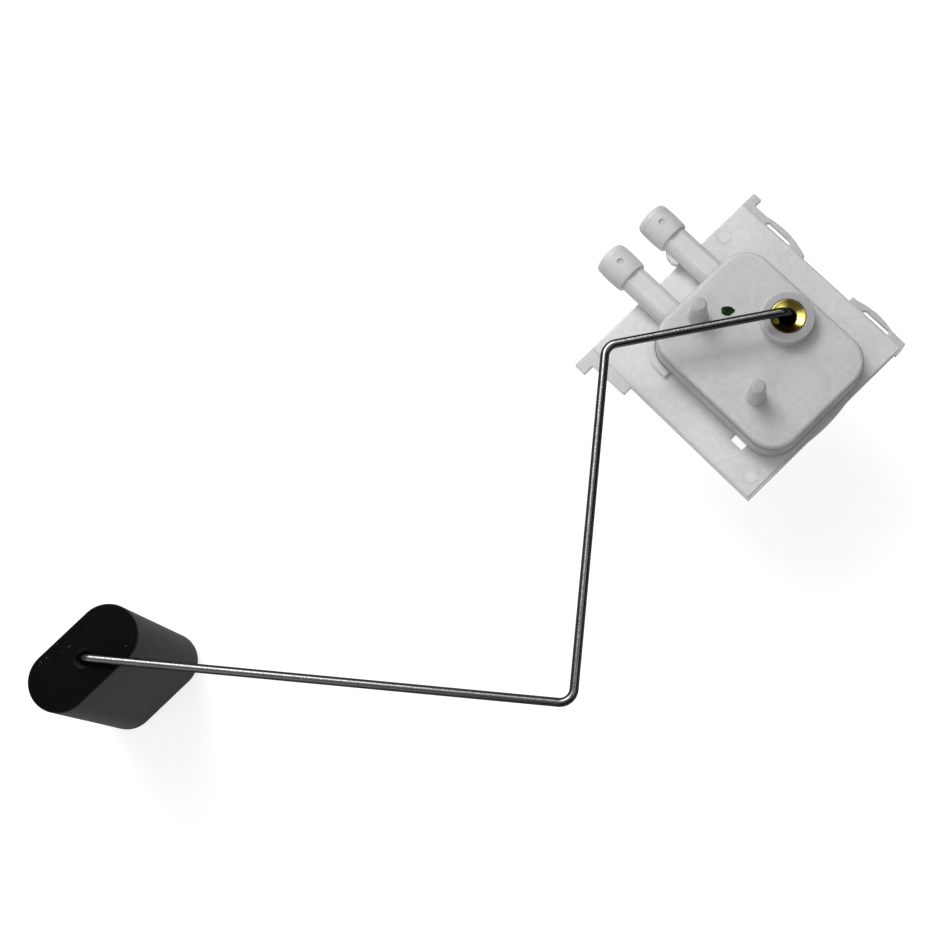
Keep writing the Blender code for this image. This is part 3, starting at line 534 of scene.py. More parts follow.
def make_pocket():
    """Wall that stands on the plate inside the cover."""
    return slab("pocket", cover_points(POCKET_INSET), PLATE_THICK - BURIED, POCKET_TOP,
                [cover_points(POCKET_INSET + POCKET_WALL)])


def make_boss():
    """Boss that carries the spindle's end, with its blind hole."""
    low = PLATE_THICK - BURIED
    floor = PLATE_THICK + RELIEF
    profile = [(0, low), (BOSS_RADIUS, low), (BOSS_RADIUS, BOSS_TOP), (WIRE_BORE, BOSS_TOP)]
    return turned("boss", profile + [(WIRE_BORE, floor), (0, floor)])


def nub_points():
    """Small nub on the side of the second tube, past the plate's edge."""
    reach = TUBE_RADIUS + NUB_REACH
    middle = PLATE_TOP + NUB_PLACE
    low = middle - NUB_LENGTH / 2
    high = middle + NUB_LENGTH / 2
    points = [(0, low), (0, high), (-TUBE_RADIUS, high)]
    points += [(-reach + NUB_REACH / 4, middle + NUB_LENGTH / 5), (-reach, middle - NUB_LENGTH / 5)]
    points += [(-reach + NUB_REACH / 2, low)]
    return softened([(SLEEVE_X[1] + x, y) for x, y in points], EDGE)


def make_carrier():
    """The white moulding that the whole sender is built on."""
    slot = softened(block(*SLOT), EDGE)
    slits = [slit_points(*slit) for slit in SLITS]
    carrier = slab("carrier_moulding", plate_points(), 0, RIM_TOP, [slot, *slits])
    face = slab("face", face_points(), RIM_TOP - BURIED, PLATE_THICK, [inset(slot, -RELIEF)],
                edges=(RELIEF, EDGE * 2))
    rib = slab("rib", rib_points(), PLATE_THICK - BURIED, PLATE_THICK + RIB_HEIGHT)
    nub = slab("nub", nub_points(), SLEEVE_Z - NUB_HEIGHT, SLEEVE_Z)
    boolean(carrier, "UNION", face, rib, make_pocket(), make_boss())
    boolean(carrier, "UNION", *[make_sleeve(x) for x in SLEEVE_X], nub)
    shade(carrier)
    return carrier


def make_stud(name, foot_radius, top_radius, top, fillet, steps):
    """Round stud on the cover, with a filleted foot and a rounded top."""
    wide = foot_radius + FOOT_FILLET
    profile = [(0, COVER_TOP - EDGE * 2), (wide, COVER_TOP - EDGE * 2)]
    profile += arc(FOOT_FILLET, -90, -180, 6, (wide, COVER_TOP + FOOT_FILLET))
    profile += arc(fillet, 0, 90, 6, (top_radius - fillet, top - fillet))
    return turned(name, profile + [(0, top)], steps)


def make_peg(distance, angle):
    peg = make_stud("peg", PEG_RADIUS + PEG_DRAFT, PEG_RADIUS, PEG_TOP, PEG_FILLET, 64)
    return place(peg, (*polar(distance, angle), 0))


def make_cover():
    """Rounded square cap with its collar and two stop pegs."""
    seam = [(0, SEAM[0]), (SEAM_DEPTH, SEAM[0]), (SEAM_DEPTH, SEAM[1]), (0, SEAM[1])]
    cover = slab("cover_moulding", cover_points(0), PLATE_THICK + FIT, COVER_TOP,
                 edges=(EDGE / 2, COVER_FILLET), steps=8, waist=seam)
    hollow = slab("hollow", cover_points(COVER_WALL), PLATE_THICK - FIT, COVER_TOP - COVER_ROOF)
    collar = make_stud("collar", COLLAR_RADIUS, COLLAR_RADIUS, COLLAR_TOP, COLLAR_FILLET, ROUND)
    low = COVER_TOP - COVER_ROOF - EDGE
    step = COLLAR_TOP - BUSH_HEAD - FIT
    high = COLLAR_TOP + EDGE
    seat = turned("seat", [(0, low), (BUSH_NECK + FIT, low), (BUSH_NECK + FIT, step),
                           (BUSH[1].x + SEAT_GAP, step), (BUSH[1].x + SEAT_GAP, high), (0, high)])
    boolean(cover, "DIFFERENCE", hollow)
    boolean(cover, "UNION", collar, *[make_peg(*peg) for peg in PEGS])
    boolean(cover, "DIFFERENCE", seat)
    for x in SLEEVE_X:
        notch = slab("notch", notch_points(), -COVER_HIGH - BURIED,
                     -COVER_HIGH + COVER_WALL + BURIED, edges=(RELIEF, RELIEF))
        boolean(cover, "DIFFERENCE", place(notch, (x, 0, SLEEVE_Z), LAY_BACK))
    shade(cover)
    return cover


def make_bush():
    """Turned brass bush: rounded rim, shallow dish and a throat round the wire."""
    top = BUSH[1].z
    radius = BUSH[1].x
    rim = radius - DISH_RIM
    start = math.degrees(math.asin(rim / DISH_SPHERE))
    end = math.degrees(math.asin(THROAT_RADIUS / DISH_SPHERE))
    centre = top - DISH_RIM / 4 + math.sqrt(DISH_SPHERE ** 2 - rim ** 2)
    dish = arc(DISH_SPHERE, start - 90, end - 90, 32, (0, centre))
    throat = arc(EDGE, 90, 180, 4, (dish[-1][0] - EDGE / 2, dish[-1][1] - EDGE))
    lip = DISH_RIM / 2
    profile = [(WIRE_BORE, BUSH[0].z), (BUSH_NECK, BUSH[0].z), (BUSH_NECK, top - BUSH_HEAD)]
    profile += [(radius, top - BUSH_HEAD), *arc(lip, 0, 120, 8, (radius - lip, top - lip))]
    profile += [*dish, *throat[1:]]
    bush = turned("bush", [*profile, (WIRE_BORE, top - THROAT_DEPTH)], 128, hollow=True)
    shade(bush, 50)
    return bush


def make_pin(name, box):
    """Terminal pin with a tapered, rounded tip."""
    x = (box[0].x + box[1].x) / 2
    length = box[1].y - box[0].y
    profile = [(0, 0), (PIN_FOOT, 0), (PIN_RADIUS, EDGE), (PIN_RADIUS, length - PIN_RADIUS)]
    profile += arc(PIN_TIP, 10, 90, 6, (0, length - PIN_TIP))
    pin = place(turned(name, profile, 40), turn=LAY_AHEAD)
    place(pin, (x, box[0].y, SLEEVE_Z))
    shade(pin)
    return pin


class Nodes:
    """A node tree in the making, with what geometry, looks and studio need of it."""

    def __init__(self, tree):
        self.tree = tree

    def feed(self, socket, value):
        """Gives an input its value, or the link that it takes it from."""
        if isinstance(value, Field):
            self.tree.links.new(value.socket, socket)
        else:
            socket.default_value = value

    def node(self, kind, settings=None, sockets=None, output=0):
        """Any node: its settings first, then its inputs."""
        made = self.tree.nodes.new(kind)
        for name, value in (settings or {}).items():
            setattr(made, name, value)
        for name, value in (sockets or {}).items():
            self.feed(made.inputs[name], value)
        return Field(self, made.outputs[output])

    def stored(self, geometry, name, value):
        """Geometry that keeps a value as its attribute."""
        return self.node("GeometryNodeStoreNamedAttribute",
                         {"data_type": "FLOAT", "domain": "POINT"},
                         {"Geometry": geometry, "Name": name, "Value": value})

    def dot(self, first, second):
        return self.node("ShaderNodeVectorMath", {"operation": "DOT_PRODUCT"},
                         {0: first, 1: second}, "Value")

    def ramp(self, value, span, ends=(0, 1)):
        """Goes softly from one end to the other while a value goes through its span."""
        return self.node("ShaderNodeMapRange", {"interpolation_type": "SMOOTHSTEP"},
                         {"Value": value, "From Min": span[0], "From Max": span[1],
                          "To Min": ends[0], "To Max": ends[1]})

    def mix(self, share, first, second):
        """Two colours mixed by a share."""
        return self.node("ShaderNodeMix", {"data_type": "RGBA"}, {0: share, 6: first, 7: second}, 2)

    def ray(self, kind):
        return self.node("ShaderNodeLightPath", output=kind)

    def backdrop(self, near):
        """1 to the camera, and to what mirrors or passes light as far as it is near."""
        mirrored = self.ray("Is Glossy Ray").math("MAXIMUM", self.ray("Is Transmission Ray"))
        return self.ray("Is Camera Ray").math("MAXIMUM", mirrored * near)


class Field:
    """A value that varies: the output of a node, and the nodes that it is one of."""

    def __init__(self, nodes, socket):
        self.nodes = nodes
        self.socket = socket

    def math(self, operation, *others):
        return self.nodes.node("ShaderNodeMath", {"operation": operation},
                               dict(enumerate((self, *others))))

    def __add__(self, other):
        return self.math("ADD", other)

    def __sub__(self, other):
        return self.math("SUBTRACT", other)

    def __rsub__(self, other):
        return self * -1 + other

    def __mul__(self, other):
        return self.math("MULTIPLY", other)

    def above(self, edge, softness):
        """1 where this is over the edge and 0 under it, with a soft step between."""
        return self.nodes.ramp(self, (edge - softness, edge + softness))

    def wave(self):
        """Sine of this, counted in full turns."""
        return (self * math.tau).math("SINE")

    __radd__ = __add__


def length(x, y):
    return (x * x + y * y).math("POWER", 0.5)


def rule(name, *sizes):
    """Starts a geometry tree, and returns it with its mesh and its named sizes."""
    tree = bpy.data.node_groups.new(name, "GeometryNodeTree")
    tree.interface.new_socket("Geometry", in_out="INPUT", socket_type="NodeSocketGeometry")
    for size in sizes:
        tree.interface.new_socket(size, in_out="INPUT", socket_type="NodeSocketFloat")
    tree.interface.new_socket("Geometry", in_out="OUTPUT", socket_type="NodeSocketGeometry")
    nodes = Nodes(tree)
    given = tree.nodes.new("NodeGroupInput")
    return nodes, *[Field(nodes, given.outputs[item]) for item in ("Geometry", *sizes)]


def run_rule(obj, nodes, last, material, sizes):
    """Ends a geometry tree, gives the object its sizes, and keeps the result as a plain mesh."""
    real = nodes.node("GeometryNodeRealizeInstances", None, {"Geometry": last})
    coated = nodes.node("GeometryNodeSetMaterial", None, {"Geometry": real, "Material": material})
    nodes.feed(nodes.tree.nodes.new("NodeGroupOutput").inputs["Geometry"], coated)
    modifier = obj.modifiers.new(nodes.tree.name, "NODES")
    modifier.node_group = nodes.tree
    for item in nodes.tree.interface.items_tree:
        if item.in_out == "INPUT" and item.name in sizes:
            modifier[item.identifier] = sizes[item.name]
    bake(obj)


def polyline(name, points, bends):
    """Path of straight edges, each point with its bend radius."""
    mesh = bpy.data.meshes.new(name)
    mesh.from_pydata(points, [(i, i + 1) for i in range(len(points) - 1)], [])
    mesh.attributes.new("bend", "FLOAT", "POINT").data.foreach_set("value", bends)
    obj = bpy.data.objects.new(name, mesh)
    bpy.context.scene.collection.objects.link(obj)
    return obj


def arm_points():
    """Corners of the wire, from the foot of its spindle to the end of its axle."""
    knee_1 = Vector((*polar(INNER_RUN, ARM_HEADING), WIRE_Z))
    knee_2 = knee_1 + Vector((*polar(MIDDLE_RUN, ARM_HEADING + KNEE_1_TURN), 0))
    end = knee_2 + Vector((*polar(OUTER_RUN, ARM_HEADING + KNEE_1_TURN + KNEE_2_TURN), 0))
    foot = PLATE_THICK + 2 * FIT
    axle_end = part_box("float_arm")[0].z
    return [(0, 0, foot), (0, 0, WIRE_Z), knee_1, knee_2, end, (end.x, end.y, axle_end)]


def make_arm(material):
    """Bent wire, swept along its path. It keeps where a point is along and round the wire, and how
    far it faces the side of its painted highlight, for its material."""
    arm = polyline("bent_wire", arm_points(),
                   [0, END_BEND_RADIUS, KNEE_RADIUS, KNEE_RADIUS, END_BEND_RADIUS, 0])
    nodes, path, radius = rule("wire_along_path", "Wire radius")
    bend = nodes.node("GeometryNodeInputNamedAttribute", {"data_type": "FLOAT"}, {"Name": "bend"})
    curve = nodes.node("GeometryNodeMeshToCurve", None, {"Mesh": path})
    curve = nodes.node("GeometryNodeFilletCurve", {"mode": "POLY"},
                       {"Curve": curve, "Count": BEND_STEPS, "Radius": bend, "Limit Radius": True})
    along = nodes.node("GeometryNodeSplineParameter", output="Length")
    curve = nodes.stored(curve, "along", along)
    ring = nodes.node("GeometryNodeCurvePrimitiveCircle", None,
                      {"Resolution": WIRE_STEPS, "Radius": radius})
    turn = nodes.node("GeometryNodeSplineParameter", output="Factor")
    ring = nodes.stored(ring, "turn", turn)
    swept = nodes.node("GeometryNodeCurveToMesh", None,
                       {"Curve": curve, "Profile Curve": ring, "Fill Caps": True})
    toward_highlight = nodes.dot(nodes.node("GeometryNodeInputNormal"), HIGHLIGHT_SIDE)
    swept = nodes.stored(swept, "toward_highlight", toward_highlight)
    run_rule(arm, nodes, swept, material, {"Wire radius": WIRE_RADIUS})
    shade(arm, 50)
    return arm


def make_marks(material):
    """Ejector marks: shallow round pads on the plate's face, one at each place."""
    places = [(x, y, PLATE_THICK + MARK_DEPTH / 4) for x, y in MARKS]
    marks = polyline("ejector_marks", places, [0] * len(MARKS))
    nodes, points, radius, depth = rule("round_marks", "Mark radius", "Mark depth")
    pad = nodes.node("GeometryNodeMeshCylinder", None,
                     {"Vertices": 48, "Radius": radius, "Depth": depth}, "Mesh")
    spread = nodes.node("GeometryNodeInstanceOnPoints", None, {"Points": points, "Instance": pad})
    run_rule(marks, nodes, spread, material, {"Mark radius": MARK_RADIUS, "Mark depth": MARK_DEPTH})
    shade(marks)
    return marks


def make_float():
    """Moulded foam float with round ends, soft rims and a countersunk axle bore."""
    middle = (FLOAT[0] + FLOAT[1]) / 2
    radius = (FLOAT[1].y - FLOAT[0].y) / 2
    half = (FLOAT[1].x - FLOAT[0].x) / 2 - radius
    low = FLOAT[0].z
    top = FLOAT[1].z
    outline = arc(radius, -90, 90, 48, (half, 0)) + arc(radius, 90, 270, 48, (-half, 0))
    body = slab("foam_float", outline, low, top, edges=(FLOAT_EDGE, FLOAT_EDGE), steps=6)
    bore = turned("bore", [(0, low - BURIED), (WIRE_BORE, low - BURIED),
                           (WIRE_BORE, top - SINK_DEPTH), (SINK_RADIUS, top),
                           (SINK_RADIUS, top + BURIED), (0, top + BURIED)], 48)
    boolean(body, "DIFFERENCE", bore)
    place(body, (middle.x, middle.y, 0))
    shade(body)
    return body


def clip_points():
    """Toothed hole of the push-on clip."""
    points = []
    for tooth in range(CLIP_TEETH):
        start = 360 * tooth / CLIP_TEETH
        points += arc(WIRE_BORE, start + CLIP_TOOTH[0], start + CLIP_TOOTH[1], 4)
        points += arc(WIRE_BORE + CLIP_NOTCH, start + CLIP_GAP[0], start + CLIP_GAP[1], 4)
    return points


def make_clip():
    middle = (FLOAT_CLIP[0] + FLOAT_CLIP[1]) / 2
    radius = (FLOAT_CLIP[1].x - FLOAT_CLIP[0].x) / 2
    clip = slab("push_clip", arc(radius, 0, 360, 64)[:-1], FLOAT_CLIP[0].z, FLOAT_CLIP[1].z,
                [clip_points()], edges=(CLIP_EDGE, CLIP_EDGE))
    place(clip, (middle.x, middle.y, 0))
    shade(clip)
    return clip


def make_dab():
    """Dab of paint with an uneven edge, domed a little."""
    angles = [math.tau * step / DAB_STEPS for step in range(DAB_STEPS)]
    outline = []
    for angle in angles:
        wobble = 1 + sum(size * math.sin(count * angle + start) for count, start, size in DAB_WAVES)
        outline.append((DAB_RADII[0] * wobble * math.cos(angle),
                        DAB_RADII[1] * wobble * math.sin(angle)))
    bm = bmesh.new()
    rings = [[bm.verts.new((x * share, y * share, height * DAB_HEIGHT)) for x, y in outline]
             for share, height in DAB_RINGS]
    join_rings(bm, rings)
    bm.faces.new(rings[0][::-1])
    bm.faces.new(rings[-1])
    turn = Matrix.Rotation(math.radians(DAB_TURN), 4, "Z")
    dab = place(finished_mesh("paint_dab", bm), (*DAB_PLACE, COVER_TOP), turn)
    shade(dab, 70)
    return dab


class Look(Nodes):
    """A material in the making: its shader's fixed values, then the fields that vary."""

    def __init__(self, name, **fixed):
        self.material = bpy.data.materials.new(name)
        self.material.use_nodes = True
        super().__init__(self.material.node_tree)
        self.shader = self.tree.nodes["Principled BSDF"]
        self.use(**fixed)

    def use(self, **values):
        """Gives the shader's inputs their values or fields, and returns the material."""
        for name, value in values.items():
            self.feed(self.shader.inputs[name.replace("_", " ")], value)
        return self.material

    def place(self):
        """Object coordinates, in metres."""
        return self.node("ShaderNodeTexCoord", output="Object")

    def axes(self):
        place = self.place()
        return [self.node("ShaderNodeSeparateXYZ", None, {0: place}, axis) for axis in "XYZ"]

    def stretched(self, scale):
        """Object coordinates, scaled along each axis."""
        return self.node("ShaderNodeMapping", None, {"Vector": self.place(), "Scale": scale})

    def noise(self, size, detail, where=None):
        """Noise from 0 to 1, with lumps of a size in metres."""
        return self.node("ShaderNodeTexNoise", None,
                         {"Vector": where or self.place(), "Scale": 1 / size, "Detail": detail})

    def cells(self, size):
        """Distance from the nearest of scattered points, in cells of a size in metres."""
        return self.node("ShaderNodeTexVoronoi", None, {"Vector": self.place(), "Scale": 1 / size})

    def attribute(self, name):
        return self.node("ShaderNodeAttribute", {"attribute_name": name}, None, "Fac")

    def vector(self, x, y, z):
        return self.node("ShaderNodeCombineXYZ", None, {0: x, 1: y, 2: z})

    def bump(self, height, depth):
        """Surface normal from a height, whose 0 to 1 is a depth in metres."""
        return self.node("ShaderNodeBump", None, {"Height": height, "Distance": depth})


def shade_of(grey, tint=(1, 1, 1)):
    return (grey * tint[0], grey * tint[1], grey * tint[2], 1)


# Colours, which are linear, with the places and sizes that the looks use besides the shapes' own
ACETAL_TINT = (1.0, 0.998, 1.0)
ACETAL_RANGE = (0.91, 1.07)         # darkest and lightest share of its grey
# Painted light: the carrier is painted darker towards +X, and both mouldings lighter towards +Y
CARRIER_PAINTED_LIGHT_SLOPE = (-5, 5)             # painted light: change along X and Y, in shares of that range for each metre
COVER_PAINTED_LIGHT_SLOPE = (0, 5)
COLLAR_COLOUR = (0.345, 0.340, 0.362, 1)
COLLAR_SHADE_FADE = 28                    # painted shade: how much darker the collar is for each metre to -Y
LEFT_FADE = 0.001                   # soft edge of the greyer strip at the plate's left
FOOT_SHADE_REACH = 0.0035               # how far the painted shade reaches round the cover's foot
BRASS = ((0.88, 0.70, 0.14, 1), (0.98, 0.86, 0.28, 1))
# Painted dark reflections on the brass, brown on one side and olive on the other, with a painted
# highlight spot in the brown
BROWN_REFLECTION = (0.055, 0.016, 0.004, 1)
BROWN_REFLECTION_WAY = (-0.94, -0.34)
BROWN_REFLECTION_START = 0.0018
HIGHLIGHT_SPOT = (-0.0031, 0.0013)
HIGHLIGHT_SPOT_RADIUS = 0.0009
OLIVE_REFLECTION = (0.16, 0.105, 0.010, 1)
OLIVE_REFLECTION_WAY = (0.97, 0.26)
OLIVE_REFLECTION_SPREAD = 0.82                 # cosine of half the wedge that is olive
# Painted shade in the bush's throat and on the wire's end in it
BRASS_THROAT_SHADE = (0.012, 0.008, 0.005, 1)
WIRE_SHADE_END = 0.0150            # end of the painted shade, along the wire from its foot
HIGHLIGHT_DIM_START = 0.155                # along the wire, at its second knee, where the painted highlight gets dimmer
HIGHLIGHT_START = 0.955                  # how squarely a place faces the highlight side to take the painted highlight
GREEN = ((0.0005, 0.004, 0.001, 1), (0.002, 0.050, 0.009, 1))


def acetal_look(name, grey, painted_light_slope=(0, 0), zone=None):
    """Natural white acetal: satin, a little translucent, with the flow, frost and grain of its
    mould, and painted light that makes it lighter or darker along X and Y. A zone tints some
    places."""
    look = Look(name, Subsurface_Weight=0.7, Subsurface_Radius=(1.0, 1.0, 0.95),
                Subsurface_Scale=0.0024, IOR=1.48)
    flow = look.noise(0.011, 4)
    frost = look.noise(0.0013, 3)
    grain = look.noise(0.00022, 3)
    x, y = look.axes()[:2]
    # painted light: the shade is made lighter or darker along X and Y
    share = 0.5 + (flow - 0.5) * 1.2 + (frost - 0.5) * 1.5 + x * painted_light_slope[0] + y * painted_light_slope[1]
    colour = look.mix(share, *[shade_of(grey * part, ACETAL_TINT) for part in ACETAL_RANGE])
    if zone:
        colour = zone(look, colour)
    return look.use(Base_Color=colour, Roughness=0.34 + flow * 0.1 + grain * 0.1,
                    Normal=look.bump(grain * 0.35 + frost * 0.65, 0.00003))


def cover_tint(look, colour):
    """Milling marks along X, painted shade in the seam and on the rounded edge, painted light on
    the pegs' sides with painted shade on their tops, and a thin collar over its dark bush with
    painted shade towards -Y."""
    x, y, height = look.axes()
    radius = length(x, y)
    milling = look.noise(0.0003, 3, look.stretched((0.03, 1, 1))).above(0.6, 0.2)
    colour = look.mix(milling * 0.16, colour, shade_of(0.35))
    # painted shade: the seam's groove and the cover's rounded edge are painted darker
    over_seam = height.above(SEAM[0], EDGE)
    seam = over_seam * (1 - height.above(SEAM[1] + EDGE, EDGE))
    rounded = over_seam * (1 - height.above(COVER_TOP - EDGE * 2, EDGE))
    # painted light on the pegs' sides, for light that comes through them, and painted shade on
    # their tops
    pegs = height.above(COVER_TOP + EDGE * 3, EDGE * 2) * radius.above(COLLAR_RADIUS * 2, EDGE)
    shaded_peg_tops = height.above(PEG_TOP - EDGE * 2, EDGE)
    colour = look.mix(pegs * 0.35, colour, shade_of(0.92))
    colour = look.mix(seam * 0.7 + rounded * 0.18 + shaded_peg_tops * 0.45, colour, shade_of(0.18))
    within = 1 - radius.above(COLLAR_RADIUS - COLLAR_FILLET / 2, 0.0003)
    # cloud over the collar, with painted shade that darkens it towards -Y
    cloud_and_shade = 0.5 + look.noise(0.0012, 3) * 0.3 - y * COLLAR_SHADE_FADE
    collar = within * height.above(COLLAR_TOP - EDGE, EDGE)
    return look.mix(collar * cloud_and_shade, colour, COLLAR_COLOUR)


def carrier_tint(look, colour):
    """Greyer springs, left edge, heads and tubes; painted shade in each dimple and round the
    cover's foot.
    """
    x, y, height = look.axes()
    # painted shade: each dimple is painted darker, where shade falls in it
    dimple_shade = sum((1 - length(x - middle, y - WINDOW_Y).above(WINDOW_RADIUS, EDGE / 2))
                  * height.above(SLEEVE_Z, EDGE) for middle in SLEEVE_X)
    springs = x.above(PLATE_RIGHT - RIM_INSET, EDGE) * height.above(RIM_TOP - EDGE, EDGE / 2)
    left_edge = (x * -1).above(PLATE_LEFT - LEFT_FADE, LEFT_FADE)
    heads = y.above(TUBE_END, EDGE)
    tubes = y.above(COVER_HIGH, EDGE) * height.above(PLATE_THICK + EDGE * 2, EDGE)
    greyer = springs * 0.8 + left_edge * 0.4 + heads * 0.15 + tubes * 0.22 + dimple_shade * 0.3
    colour = look.mix(greyer, colour, shade_of(0.56))
    # painted shade: the plate is painted darker round the cover's foot, where shade falls
    off = length(*[
        ((along - (high - low) / 2).math("ABSOLUTE") - (high + low) / 2 + COVER_CORNER)
        .math("MAXIMUM", 0)
        for along, low, high in ((x, COVER_LEFT, COVER_RIGHT), (y, COVER_LOW, COVER_HIGH))])
    corner = 1 - off.above(COVER_CORNER + FOOT_SHADE_REACH / 2, FOOT_SHADE_REACH / 2)
    return look.mix(corner * 0.3 * (1 - y.above(COVER_HIGH, EDGE)), colour, shade_of(0.45))


def brass_look():
    """Turned brass: fine grooves round it, a painted dark brown reflection on one side but for a
    painted highlight spot, a painted dark olive reflection on the other, and painted shade in
    its throat."""
    look = Look("turned_brass", Metallic=1.0, Anisotropic=0.5, Anisotropic_Rotation=0.25)
    x, y, height = look.axes()
    radius = length(x, y)
    grooves = look.noise(0.00008, 2, look.vector(radius, height * 0.3, 0))
    stain = look.noise(0.0016, 3)
    colour = look.mix(stain, *BRASS)
    # painted highlight spot in the painted dark brown reflection, and a painted dark olive
    # reflection
    highlight_spot = 1 - length(x - HIGHLIGHT_SPOT[0], y - HIGHLIGHT_SPOT[1]).above(HIGHLIGHT_SPOT_RADIUS, 0.0002)
    brown = (stain * 0.002 + x * BROWN_REFLECTION_WAY[0] + y * BROWN_REFLECTION_WAY[1]).above(BROWN_REFLECTION_START, 0.0006)
    colour = look.mix(brown * (1 - highlight_spot) * 0.94, colour, BROWN_REFLECTION)
    wedge = x * OLIVE_REFLECTION_WAY[0] + y * OLIVE_REFLECTION_WAY[1] - radius * OLIVE_REFLECTION_SPREAD
    olive = (wedge + (stain - 0.5) * 0.0012).above(0, 0.0003)
    colour = look.mix(olive * 0.85, colour, OLIVE_REFLECTION)
    # painted shade in the throat
    throat_shade = 1 - radius.above(THROAT_RADIUS + EDGE / 2, 0.0001)
    return look.use(Base_Color=look.mix(throat_shade * 0.95, colour, BRASS_THROAT_SHADE),
                    Roughness=0.22 + stain * 0.14, Normal=look.bump(grooves, 0.000004))


def wire_look():
    """Drawn steel wire, with fine lines along it and small dull patches, painted dark for the dark
    surroundings that it mirrors, a painted highlight along it that is dimmer past the second
    knee, and painted shade at its spindle."""
    look = Look("drawn_steel", Metallic=1.0, Specular_Tint=shade_of(0.1))
    along = look.attribute("along")
    turn = look.attribute("turn")
    round_x = turn.wave()
    round_y = (turn + 0.25).wave()
    lines = look.noise(0.05, 3, look.vector(along * 2.2, round_x * 1.2, round_y * 1.2))
    patches = look.noise(0.35, 3, look.vector(along * 60, round_x * 0.4, 0))
    grit = look.noise(0.00035, 2)
    # painted dark reflection: the steel is painted dark for the dark surroundings that it mirrors
    dark = look.mix(patches * 0.5 + grit * 0.5, shade_of(0.05), shade_of(0.15))
    # painted highlight along the side that faces the light, dimmer past the second knee
    highlight_grey = look.mix(along.above(HIGHLIGHT_DIM_START, 0.02), shade_of(0.42), shade_of(0.24))
    painted_highlight = look.attribute("toward_highlight").above(HIGHLIGHT_START, 0.03) * (0.3 + grit.above(0.5, 0.1) * 0.7)
    colour = look.mix(painted_highlight, dark, highlight_grey)
    # painted shade on the wire's end, in and just over the bush's throat
    throat_shade = 1 - along.above(WIRE_SHADE_END, 0.002)
    return look.use(Base_Color=look.mix(throat_shade, colour, shade_of(0.015)),
                    Roughness=0.12 + lines * 0.12 + patches * 0.06,
                    Normal=look.bump(lines * 0.7 + grit * 0.3, 0.000012))


def foam_look():
    """Black nitrile foam: dull moulded skin with fine pores and a few pale specks."""
    look = Look("nitrile_foam", Specular_IOR_Level=0.06)
    pores = look.cells(0.00045)
    skin = look.noise(0.0016, 4)
    specks = look.noise(0.0007, 1).above(0.71, 0.02) * look.noise(0.006, 2).above(0.60, 0.04)
    front = look.axes()[2].above(FLOAT[1].z - FLOAT_EDGE / 4, FLOAT_EDGE / 4)
    side = look.mix(skin, shade_of(0.022), shade_of(0.046))
    colour = look.mix(specks * 0.4, look.mix(front, side, shade_of(0.0012)), shade_of(0.20))
    return look.use(Base_Color=colour, Roughness=0.5 + skin * 0.2,
                    Normal=look.bump(pores * 0.5 + skin * 0.5, 0.00006))


def paint_look():
    """Dark green marking paint."""
    look = Look("green_paint", Specular_IOR_Level=0.08)
    patches = look.noise(0.0009, 3)
    return look.use(Base_Color=look.mix(patches.above(0.5, 0.15), *GREEN),
                    Roughness=0.3 + patches * 0.25, Normal=look.bump(patches, 0.00004))


def metal_look(name, grey, tint, rough, size):
    """Rolled or stamped metal, with a grain along X."""
    look = Look(name, Metallic=1.0)
    grain = look.noise(size, 3, look.stretched((0.15, 1, 1)))
    patches = look.noise(size * 12, 3)
    colour = look.mix(patches, shade_of(grey * 0.85, tint), shade_of(grey * 1.1, tint))
    return look.use(Base_Color=colour, Roughness=rough + grain * 0.15,
                    Normal=look.bump(grain, 0.000005))


def dull_look(name, dark, light, rough, size):
    """Fired, printed or frosted surface between two greys, with an even grain."""
    look = Look(name)
    grain = look.noise(size, 4)
    return look.use(Base_Color=look.mix(grain, shade_of(dark), shade_of(light)),
                    Roughness=rough + grain * 0.1, Normal=look.bump(grain, 0.00001))


def dress(obj, material, slot, body, *nodes):
    """Gives a piece its material, its body and the nodes that it stands for. Its slot is not used.
    """
    obj.data.materials.clear()
    obj.data.materials.append(material)
    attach(obj, body)
    if nodes:
        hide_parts(*nodes)


def dress_inner_nodes():
    """Materials of the small pieces inside the closed housing, by their slots."""
    materials = {
        "spring_steel": metal_look("spring_steel", 0.42, (1, 1, 1), 0.25, 0.0004),
        "silver_ink": dull_look("silver_ink", 0.55, 0.72, 0.4, 0.0002),
        "tinned_bronze": metal_look("tinned_bronze", 0.64, (1, 0.95, 0.86), 0.2, 0.0003),
        "rotor_plastic": acetal_look("rotor_acetal", 0.72),
        "contact_alloy": metal_look("contact_alloy", 0.76, (1, 0.95, 0.85), 0.12, 0.0002),
        "ceramic": dull_look("alumina", 0.84, 0.9, 0.5, 0.0002),
        "resistive_ink": dull_look("resistive_ink", 0.025, 0.045, 0.4, 0.0001),
    }
    for part in frame["record"]["subparts"]:
        if part["material_slot"] in materials:
            piece = frame["nodes"][part["node"]]
            piece.data.materials.clear()
            piece.data.materials.append(materials[part["material_slot"]])
    return materials["spring_steel"], materials["tinned_bronze"]


